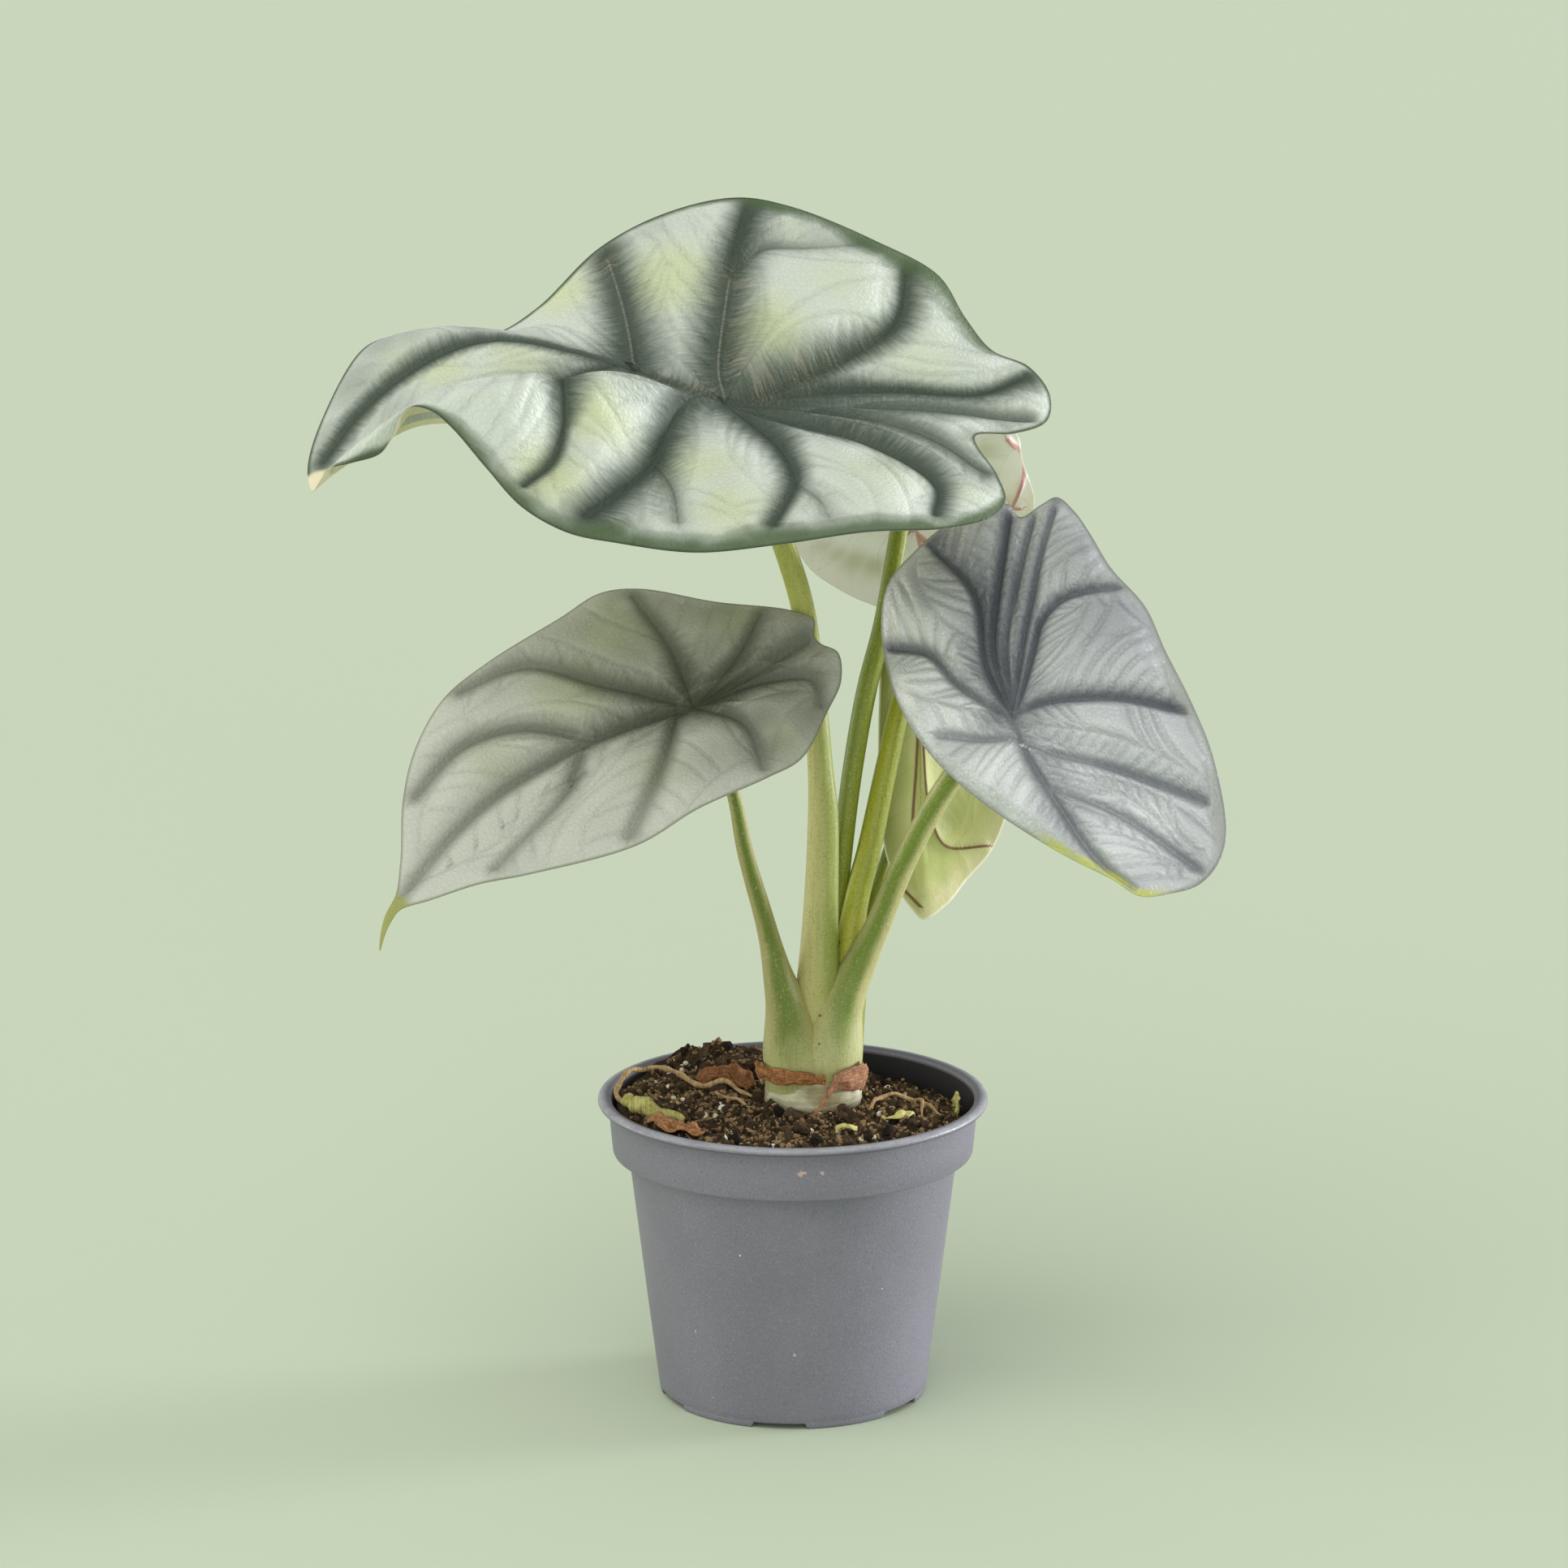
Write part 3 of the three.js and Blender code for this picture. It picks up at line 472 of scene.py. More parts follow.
@dataclass(frozen=True)
class LeafFinish:
    """A silver leaf's two faces: pale cells, dark bands along the veins and a paler back."""

    name: str
    cell: Colour
    tint: Colour
    band: Colour
    line: Colour
    margin: Colour
    back: Colour
    back_tint: Colour
    back_margin: Colour
    rib: Colour
    tip: Colour = (222, 214, 182)
    # how far band colour spreads round a vein, in millimetres: partly pigment, partly painted shade of the
    # domed cells
    fold: Colour = (192, 198, 112)
    halo_and_painted_shade: float = 7.0
    tint_share: float = 0.8
    band_share: float = 0.95
    side_share: float = 0.28
    feather: float = 1.05
    ripple: float = 1.0
    rough: float = 0.5
    metal: float = 0.0
    glints: float = 0.0
    rib_width: float = 0.9
    back_shade: Colour = (120, 130, 80)
    edge_share: float = 0.35
    # painted glints: small white spots, each a middle and a radius on the plane
    painted_glints: tuple[Point, ...] = ()

    HAIRS_AND_SHADE = (150, 142, 122)
    CREST = (162, 160, 144)
    SHINE = (236, 240, 234)
    GLINT_PAINT = (238, 240, 240)
    BACK_EDGE = (246, 244, 230)

    def material(self) -> bpy.types.Material:
        """The leaf's material, which reads the attributes of a LeafBlade's mesh."""
        sh = Shader(self.name)
        read = sh.attribute
        plane = read("plane", vector=True)
        line, band, depth = read("line"), read("band"), read("depth")
        gap = line.size().most(read("gap") - 1.6)
        side_gap, rim_gap, tip = read("side_gap"), read("rim_gap"), read("tip")
        margin = read("margin").most(0.1)

        broad = sh.noise(plane, 0.05, 2.0)
        feather = sh.noise(sh.joined(read("run") * 1.1, line * 0.1), 1.0, 3.0, 0.6)
        speckle = sh.noise(plane, 2.4, 2.0, 0.7)
        net = sh.cells(plane, 0.55)

        edge = band + (feather - 0.5) * self.feather + (broad - 0.5) * 0.4
        # the dark bands, merged with patches that are partly darker pigment and partly painted shade
        vein = (edge.step(2.1, 0.1) * depth).most(read("dark_and_painted_shade"))
        core = (band + (feather - 0.5) * 0.5).step(0.8, 0.0) * depth
        side = side_gap.step(0.45, 0.05) * edge.step(0.2, 1.2)
        hairs_and_painted_shade = read("hairs_and_painted_shade") * (feather + (speckle - 0.5) * 0.4).step(0.42, 0.66)
        tint = (read("tint") + (broad - 0.5) * 0.6).step(0.1, 1.0)
        hem = rim_gap / margin + (feather - 0.5) * 0.5 + (broad - 0.5) * 2.0
        crest = read("crest") * gap.step(0.5, 0.1) * feather.step(0.3, 0.62)
        spots = [sh.spot(plane, (x, y, 0.0), radius) for x, y, radius in self.painted_glints]
        front = sh.coated(
            self.cell,
            (self.tint, tint * self.tint_share),
            # the dark bands, with a soft spread of band colour round them that is partly pigment and partly
            # painted shade of the domed cells, and the fine veins
            (self.band, gap.step(self.halo_and_painted_shade, 1.0) * (feather * 0.3 + 0.12)),
            (self.band, side_gap.step(1.8, 0.2) * (feather * 0.5 + 0.1) * self.side_share),
            (self.band, vein * self.band_share),
            (self.line, core * 0.45),
            (self.line, gap.step(0.55, 0.1) * depth * 0.4),
            (self.line, side * self.side_share),
            (self.line, net.step(0.08, 0.0) * 0.1),
            # the rim
            (self.margin, hem.step(1.4, 0.2) * margin.step(0.3, 1.2) * 0.92),
            (self.line, (hem - 0.9).size().step(0.25, 0.0) * margin.step(1.5, 4.0) * 0.15),
            (self.line, rim_gap.step(0.9, 0.1) * self.edge_share),
            # dry hairs near the hub with painted shade beside the folded ridges, the ridge tops and the
            # surface's own grain
            (self.HAIRS_AND_SHADE, hairs_and_painted_shade * 0.55),
            (self.CREST, crest * 0.45),
            (self.SHINE, speckle.step(0.6, 0.8) * 0.22),
            (self.line, speckle.step(0.42, 0.22) * 0.18),
            (self.tip, tip),
            (self.fold, read("fold") * rim_gap.step(2.8, 1.6)),
            # painted glints: white spots near the hub
            *((self.GLINT_PAINT, spot * speckle.step(0.35, 0.5) * 0.85) for spot in spots),
        )
        under = sh.coated(
            self.back,
            (self.back_tint, broad.step(0.35, 0.7) * 0.8),
            (self.back_margin, (rim_gap + (broad - 0.5) * 8.0).step(9.0, 0.5) * 0.75),
            # painted shade on the back
            (self.back_shade, read("shade") * 0.8),
            (self.rib, band.step(1.0, 0.2) * 0.16),
            (self.rib, gap.step(self.rib_width, self.rib_width * 0.35) * 0.9),
            (self.rib, side_gap.step(0.42, 0.05) * 0.2),
            (self.BACK_EDGE, rim_gap.step(0.7, 0.2) * 0.6),
            (self.back_margin, speckle.step(0.55, 0.8) * 0.12),
            (self.tip, tip),
        )
        back = read("back").step(0.4, 0.6)

        crinkle = side_gap.step(0.0, 1.5) * gap.step(0.6, 3.0) * rim_gap.step(1.5, 6.0) * self.ripple
        relief = (speckle * 0.4 + net.step(0.0, 0.3) * 0.4 + crinkle - vein * feather) * (1 - back * 0.8)
        glint = speckle.step(0.55, 0.75) * self.glints * vein
        roughness = self.rough + 0.12 * vein - glint * 0.35 + (speckle - 0.5) * 0.25
        fixed = {"Metallic": self.metal, "Specular IOR Level": 0.35}
        return sh.done(sh.mixed(front, under, back), roughness, sh.raised(relief, 0.3 * MM), fixed)


@dataclass(frozen=True)
class StalkFinish:
    """A smooth mottled stalk with a broad stripe, whose middle is a place from left, -1, to right, 1."""

    name: str
    base: Colour
    stripe: Colour
    foot: Colour
    foot_from: float = 0.135
    foot_to: float = 0.1
    middle: float = 1.2
    wide: float = 1.9
    lean: float = 0.0
    crown: Colour = (168, 172, 84)
    crown_from: float = 9.0
    specks: tuple[Point, ...] = ((8, 112.9, 0.55), (8.2, 121, 0.6), (14, 142, 0.7), (-9.4, 119.3, 0.6))

    PORES = (70, 84, 28)
    BLOOM = (205, 205, 160)
    STREAK = (84, 96, 36)
    SPECK = (76, 62, 30)

    def material(self) -> bpy.types.Material:
        """The stalk's material, which reads `side` and `height` from its mesh."""
        sh = Shader(self.name)
        place = sh.place()
        height = sh.attribute("height")
        long_grain = sh.noise(sh.stretched(place, (1.0, 1.0, 0.06)), 1400.0, 2.0)
        grain = sh.noise(place, 1500.0, 2.0, 0.6)
        cloud = sh.noise(place, 60.0, 3.0)
        lean = height.step(0.112, 0.145) * self.lean
        away = (sh.attribute("side") - self.middle - lean + (cloud - 0.5) * 0.6).size()
        front = sh.stretched(place, (1.0, 0.0, 1.0))
        spots = [sh.spot(front, (x * MM, 0.0, z * MM), radius * MM) for x, z, radius in self.specks]
        colour = sh.coated(
            self.base,
            (self.stripe, away.step(self.wide, self.wide * 0.2)),
            (self.foot, (height + (cloud - 0.5) * 0.02).step(self.foot_from, self.foot_to)),
            (self.crown, height.step(self.crown_from, self.crown_from + 0.03)),
            (self.PORES, grain.step(0.45, 0.3) * 0.35),
            (self.BLOOM, grain.step(0.56, 0.72) * 0.3),
            (self.STREAK, long_grain.step(0.5, 0.7) * 0.14),
            *((self.SPECK, spot * 0.8) for spot in spots),
        )
        normal = sh.raised(long_grain * 0.5 + grain * 0.4, 0.12 * MM)
        return sh.done(colour, 0.46 + (grain - 0.5) * 0.2, normal, {"Specular IOR Level": 0.45})


@dataclass(frozen=True)
class DryFinish:
    """Dead plant matter: streaked along its length and rough."""

    name: str
    pale: Colour
    dark: Colour
    grain: float = 900.0
    relief_mm: float = 0.4

    ROT = (52, 36, 26)

    def material(self) -> bpy.types.Material:
        """The dry matter's material, which reads `side` and `height` from its mesh."""
        sh = Shader(self.name)
        place = sh.place()
        along = sh.joined(sh.attribute("side") * 9.0, sh.attribute("height") * 60.0)
        streak = sh.noise(along, 1.0, 4.0, 0.7)
        grain = sh.noise(place, self.grain, 3.0, 0.7)
        colour = sh.coated(
            self.pale,
            (self.dark, (streak * 0.6 + grain * 0.4).step(0.36, 0.62)),
            (self.ROT, sh.noise(place, 220.0, 3.0).step(0.56, 0.72) * 0.5),
        )
        normal = sh.raised(streak * 0.6 + grain * 0.5, self.relief_mm * MM)
        return sh.done(colour, 0.86, normal, {"Specular IOR Level": 0.2})


@dataclass(frozen=True)
class PotFinish:
    """Fine-grained moulded grey plastic with a polished lip, a painted highlight along it, painted shade
    under the lip, under the band and inside, and a few specks of dust.
    """

    name: str = "grey_pot_plastic"
    dust: tuple[Point, ...] = (
        (-29.7, -33.7, 29, 0.5), (-16, -45.6, 57, 0.45), (0.5, -44.4, 25, 0.6), (-24.5, -34.6, 8, 0.5),
        (27, -38, 44, 0.4),
    )
    scrapes: tuple[Point, ...] = ((2.2, -56.1, 86, 1.3), (8.6, -55.5, 86, 0.9), (3.4, -56.1, 86.3, 0.8))
    grey: Colour = (118, 117, 128)
    grey_cloud: Colour = (132, 129, 142)
    pit: Colour = (96, 98, 104)
    grit: Colour = (158, 160, 166)
    scuffed: Colour = (150, 150, 156)
    # painted shade for the pot's inside, near black
    dark_and_painted_shade: Colour = (16, 15, 14)
    dusty: Colour = (230, 228, 224)
    scraped: Colour = (214, 176, 164)
    # the dark grey of the painted shade lines
    crease: Colour = (70, 72, 80)
    painted_lip_highlight: Colour = (190, 193, 200)

    def material(self) -> bpy.types.Material:
        """The pot's material, which reads from its mesh the lip's crest, the lines of painted shade and the
        inside.
        """
        sh = Shader(self.name)
        place = sh.place()
        grain = sh.noise(place, 1500.0, 2.0, 0.6)
        scuff = sh.noise(sh.stretched(place, (1.0, 1.0, 5.0)), 160.0, 4.0, 0.65)
        lip, inside = sh.attribute("lip"), sh.attribute("inside")
        marks = [(self.dusty, *mark) for mark in self.dust] + [(self.scraped, *mark) for mark in self.scrapes]
        spots = [
            (paint, sh.spot(place, (x * MM, y * MM, z * MM), radius * MM))
            for paint, x, y, z, radius in marks
        ]
        colour = sh.coated(
            self.grey,
            (self.grey_cloud, sh.noise(place, 24.0, 3.0).step(0.35, 0.7) * 0.6),
            (self.pit, grain.step(0.47, 0.3) * 0.4),
            (self.grit, grain.step(0.55, 0.72) * 0.32),
            (self.scuffed, scuff.step(0.62, 0.8) * 0.2),
            # painted shade: the inside of the pot near black
            (self.dark_and_painted_shade, inside * 0.96),
            *((paint, spot * grain.step(0.4, 0.5) * 0.75) for paint, spot in spots),
            # painted shade under the lip, under the band and along the lip's inner edge
            (self.crease, sh.attribute("painted_shade_line") * 0.75),
            # painted highlight along the lip's crest
            (self.painted_lip_highlight, lip * (0.45 + (scuff - 0.5) * 1.2)),
        )
        roughness = 0.5 + (grain - 0.5) * 0.3 - lip * 0.22 + inside * 0.3
        return sh.done(colour, roughness, sh.raised(grain, 0.14 * MM), {"Specular IOR Level": 0.4})


@dataclass(frozen=True)
class SoilFinish:
    """Dark potting mix, or one of the things mixed into it."""

    name: str
    dark: Colour
    pale: Colour
    hollow_shade: Colour = (20, 14, 10)

    def material(self) -> bpy.types.Material:
        """The material, which reads `tone` from its mesh."""
        sh = Shader(self.name)
        place = sh.place()
        clods = sh.noise(place, 260.0, 4.0, 0.7)
        grain = sh.noise(place, 1300.0, 3.0, 0.7)
        tone = clods * 0.5 + grain * 0.45 + sh.attribute("tone") * 0.5 - 0.2
        colour = sh.coated(
            # painted shade in the hollows between the clods
            self.dark, (self.pale, tone.step(0.28, 0.72)), (self.hollow_shade, clods.step(0.46, 0.3) * 0.6)
        )
        normal = sh.raised(clods * 0.7 + grain * 0.5, 0.9 * MM)
        return sh.done(colour, 0.95, normal, {"Specular IOR Level": 0.2})


@dataclass(frozen=True)
class CormFinish:
    """The tuber's pale skin with its dark specks and faint rings, brown below the soil's surface."""

    name: str = "corm_skin"
    skin: Colour = (198, 199, 162)
    mottle: Colour = (164, 158, 116)
    pale_ring: Colour = (218, 218, 190)
    dark_ring: Colour = (122, 110, 80)
    speck: Colour = (62, 48, 34)
    buried: Colour = (104, 82, 56)
    bloom: Colour = (210, 208, 186)

    def material(self) -> bpy.types.Material:
        """The corm's material, which reads `height` from its mesh."""
        sh = Shader(self.name)
        place = sh.place()
        rings = sh.noise(sh.stretched(place, (0.15, 0.15, 1.0)), 700.0, 3.0, 0.6)
        cloud = sh.noise(place, 120.0, 4.0)
        grain = sh.noise(place, 1400.0, 2.0)
        specks = sh.cells(place, 150.0, "F1")
        depth = sh.attribute("height") + (cloud - 0.5) * 0.016
        colour = sh.coated(
            self.skin,
            (self.mottle, cloud.step(0.4, 0.62)),
            (self.pale_ring, rings.step(0.5, 0.66) * 0.5),
            (self.dark_ring, rings.step(0.44, 0.3) * 0.35),
            (self.speck, specks.step(0.16, 0.08) * cloud.step(0.46, 0.56) * 0.85),
            (self.buried, depth.step(0.0945, 0.0895)),
            (self.bloom, grain.step(0.58, 0.75) * 0.3),
        )
        return sh.done(colour, 0.62, sh.raised(rings * 0.5 + cloud * 0.5 + grain * 0.2, 0.4 * MM))


@dataclass(frozen=True)
class FloorFinish:
    """The pale green sweep that the plant stands on."""

    name: str = "pale_floor"
    green: Colour = (198, 211, 186)

    def material(self) -> bpy.types.Material:
        """The floor's material."""
        return Shader(self.name).done(self.green, 0.9, None, {"Specular IOR Level": 0.1})


# ---------------------------------------------------------------- geometry nodes


class NodeForm(NodeMaker):
    """A Geometry Nodes tree that is built in code, run once on an object and turned to a mesh."""

    def __init__(self, name: str, inputs: Mapping[str, str]) -> None:
        """Start a tree.

        Args:
            name: The tree's name.
            inputs: The types of its named inputs, between the geometry and the material.
        """
        super().__init__(bpy.data.node_groups.new(name, "GeometryNodeTree"))
        for key, kind in {"Geometry": "Geometry", **inputs, "Material": "Material"}.items():
            self.tree.interface.new_socket(key, in_out="INPUT", socket_type="NodeSocket" + kind)
        self.tree.interface.new_socket("Geometry", in_out="OUTPUT", socket_type="NodeSocketGeometry")
        self.given = self.node("NodeGroupInput", {}, {}).outputs

    def close(self, geometry: bpy.types.NodeSocket) -> None:
        """End the tree with real geometry in the material that the input names."""
        real = self.node("GeometryNodeRealizeInstances", {}, {"Geometry": geometry})
        sockets = {"Geometry": real.outputs[0], "Material": self.given["Material"]}
        dressed = self.node("GeometryNodeSetMaterial", {}, sockets)
        self.node("NodeGroupOutput", {}, {0: dressed.outputs[0]})

    def run(self, carrier: bpy.types.Object, name: str, inputs: Mapping[str, object]) -> bpy.types.Object:
        """Run the tree on a carrier and keep only what it makes.

        Args:
            carrier: The object whose mesh goes in. It is removed.
            name: The new object's name.
            inputs: Values for the tree's named inputs.

        Returns:
            A plain mesh object.
        """
        modifier = carrier.modifiers.new("form", "NODES")
        modifier.node_group = self.tree
        for item in self.tree.interface.items_tree:
            if item.in_out == "INPUT" and item.name in inputs:
                modifier[item.identifier] = inputs[item.name]
        graph = bpy.context.evaluated_depsgraph_get()
        graph.update()
        mesh = bpy.data.meshes.new_from_object(
            carrier.evaluated_get(graph), preserve_all_data_layers=True, depsgraph=graph
        )
        bpy.data.objects.remove(carrier)
        mesh.name = name
        return add_object(name, mesh)


def strand_form() -> NodeForm:
    """A tree that sweeps a round section along a line whose points carry their radius as `thick`."""
    form = NodeForm("strand", {"Sides": "Int"})
    line = form.node("GeometryNodeMeshToCurve", {}, {0: form.given["Geometry"]})
    thick = form.node("GeometryNodeInputNamedAttribute", {"data_type": "FLOAT"}, {"Name": "thick"})
    section = {"Resolution": form.given["Sides"], "Radius": 1.0}
    ring = form.node("GeometryNodeCurvePrimitiveCircle", {}, section)
    sweep = {"Curve": line.outputs[0], "Profile Curve": ring.outputs[0], "Scale": thick.outputs[0]}
    swept = form.node("GeometryNodeCurveToMesh", {}, {**sweep, "Fill Caps": True})
    form.close(form.node("GeometryNodeSetShadeSmooth", {}, {0: swept.outputs[0]}).outputs[0])
    return form


def crumb_form() -> NodeForm:
    """A tree that strews lumpy crumbs over a surface, each turned, sized and toned by a fixed seed."""
    sizes = {"Smallest": "Vector", "Largest": "Vector", "Lumps": "Float", "Detail": "Int"}
    form = NodeForm("crumbs", {"Density": "Float", **sizes, "Seed": "Int"})
    given = form.given
    seed = {"Seed": given["Seed"]}
    spots = form.node(
        "GeometryNodeDistributePointsOnFaces",
        {"distribute_method": "RANDOM"},
        {"Mesh": given["Geometry"], "Density": given["Density"], **seed},
    )
    vector, full = {"data_type": "FLOAT_VECTOR"}, (6.283, 6.283, 6.283)
    turn = form.node("FunctionNodeRandomValue", vector, {0: (0.0, 0.0, 0.0), 1: full, **seed})
    size = form.node("FunctionNodeRandomValue", vector, {0: given["Smallest"], 1: given["Largest"], **seed})
    tone = form.node("FunctionNodeRandomValue", {"data_type": "FLOAT"}, {2: 0.0, 3: 1.0, **seed})
    crumb = form.node("GeometryNodeMeshIcoSphere", {}, {"Radius": 1.0, "Subdivisions": given["Detail"]})
    strewn = form.node(
        "GeometryNodeInstanceOnPoints",
        {},
        {
            "Points": spots.outputs["Points"],
            "Instance": crumb.outputs[0],
            "Rotation": turn.outputs[0],
            "Scale": size.outputs[0],
        },
    )
    toned = form.node(
        "GeometryNodeStoreNamedAttribute",
        {"data_type": "FLOAT", "domain": "INSTANCE"},
        {"Geometry": strewn.outputs[0], "Name": "tone", "Value": tone.outputs[1]},
    )
    real = form.node("GeometryNodeRealizeInstances", {}, {"Geometry": toned.outputs[0]})
    bumps = form.node("ShaderNodeTexNoise", {}, {"Scale": 620.0, "Detail": 1.0})
    middle = form.node("ShaderNodeMath", {"operation": "SUBTRACT"}, {0: bumps.outputs[0], 1: 0.5})
    reach = form.node("ShaderNodeMath", {"operation": "MULTIPLY"}, {0: middle.outputs[0], 1: given["Lumps"]})
    normal = form.node("GeometryNodeInputNormal", {}, {})
    push = form.node(
        "ShaderNodeVectorMath", {"operation": "SCALE"}, {0: normal.outputs[0], "Scale": reach.outputs[0]}
    )
    lumpy = {"Geometry": real.outputs[0], "Offset": push.outputs[0]}
    form.close(form.node("GeometryNodeSetPosition", {}, lumpy).outputs[0])
    return form


# ---------------------------------------------------------------- leaves


@dataclass(frozen=True)
class Vein:
    """A main vein on a leaf's plane and the dark band along it.

    `left` and `right` are how far the band reaches to each side of the vein as it leaves the hub,
    near its start, at its middle and near its end, and `depth` is how dark it is there. `crest` is
    the length of vein that is folded up into a ridge.
    """

    points: tuple[Point, ...]
    left: Point
    right: Point
    depth: Point = (1.0, 1.0, 1.0)
    crest: float = 0.0


class Stroke:
    """One main vein as close samples, which tells any spot how it lies to it."""

    STEP_MM = 1.0
    STATIONS = (0.1, 0.5, 0.9)
    CREST_END_MM = 5
    SPOTS_AT_ONCE = 8000

    def __init__(self, vein: Vein) -> None:
        """Sample the vein's line."""
        self.vein = vein
        line, self.run = evenly(spline(vein.points, 12, False), self.STEP_MM)
        self.points = line[:, :2]
        tangent = np.gradient(self.points, axis=0)
        self.tangent = tangent / np.linalg.norm(tangent, axis=1)[:, None]

    def near(self, spots: np.ndarray) -> dict[str, np.ndarray]:
        """Where each spot lies along and beside the vein.

        Args:
            spots: Points on the plane.

        Returns:
            The gap to the vein, that gap signed (positive to the left), the run along the vein,
            the gap over the band's reach there, the band's depth and the ridge's share.
        """
        parts = np.array_split(spots, max(1, len(spots) // self.SPOTS_AT_ONCE))
        index = np.concatenate([
            np.argmin(((part[:, None] - self.points[None]) ** 2).sum(2), 1) for part in parts
        ])
        away = spots - self.points[index]
        tangent = self.tangent[index]
        along = (away * tangent).sum(1)
        across = tangent[:, 0] * away[:, 1] - tangent[:, 1] * away[:, 0]
        last = len(self.points) - 1
        past = np.where(index == last, along.clip(0), 0) + np.where(index == 0, (-along).clip(0), 0)
        gap = np.hypot(across, past)
        run = self.run[index] + np.where((index > 0) & (index < last), along, 0)
        side = (across / np.maximum(gap, 1e-6) + 1) / 2
        vein = self.vein
        bands = (vein.left, vein.right, vein.depth)
        left, right, depth = (np.interp(run / self.run[-1], self.STATIONS, band) for band in bands)
        crest = np.zeros(len(spots))
        if vein.crest:
            crest = 1 - smooth(run, vein.crest - self.CREST_END_MM, vein.crest)
        return {
            "gap": gap,
            "line": gap * np.where(across < 0, -1, 1),
            "run": run,
            "band": gap / (right + (left - right) * side),
            "depth": depth,
            "crest": crest,
        }


class Web:
    """Fine lines on a plane, sampled closely so that any spot can ask for the nearest one."""

    STEP_MM = 0.25

    def __init__(self, lines: Sequence[np.ndarray]) -> None:
        """Sample the lines."""
        self.points = np.concatenate([evenly(line[:, :2], self.STEP_MM)[0] for line in lines])
        self.tree = KDTree(len(self.points))
        for number, point in enumerate(self.points):
            self.tree.insert((point[0], point[1], 0.0), number)
        self.tree.balance()

    def gap(self, spots: np.ndarray) -> np.ndarray:
        """The distance from each spot to the nearest line."""
        find = self.tree.find
        return np.array([find((u, v, 0.0))[2] for u, v in spots])


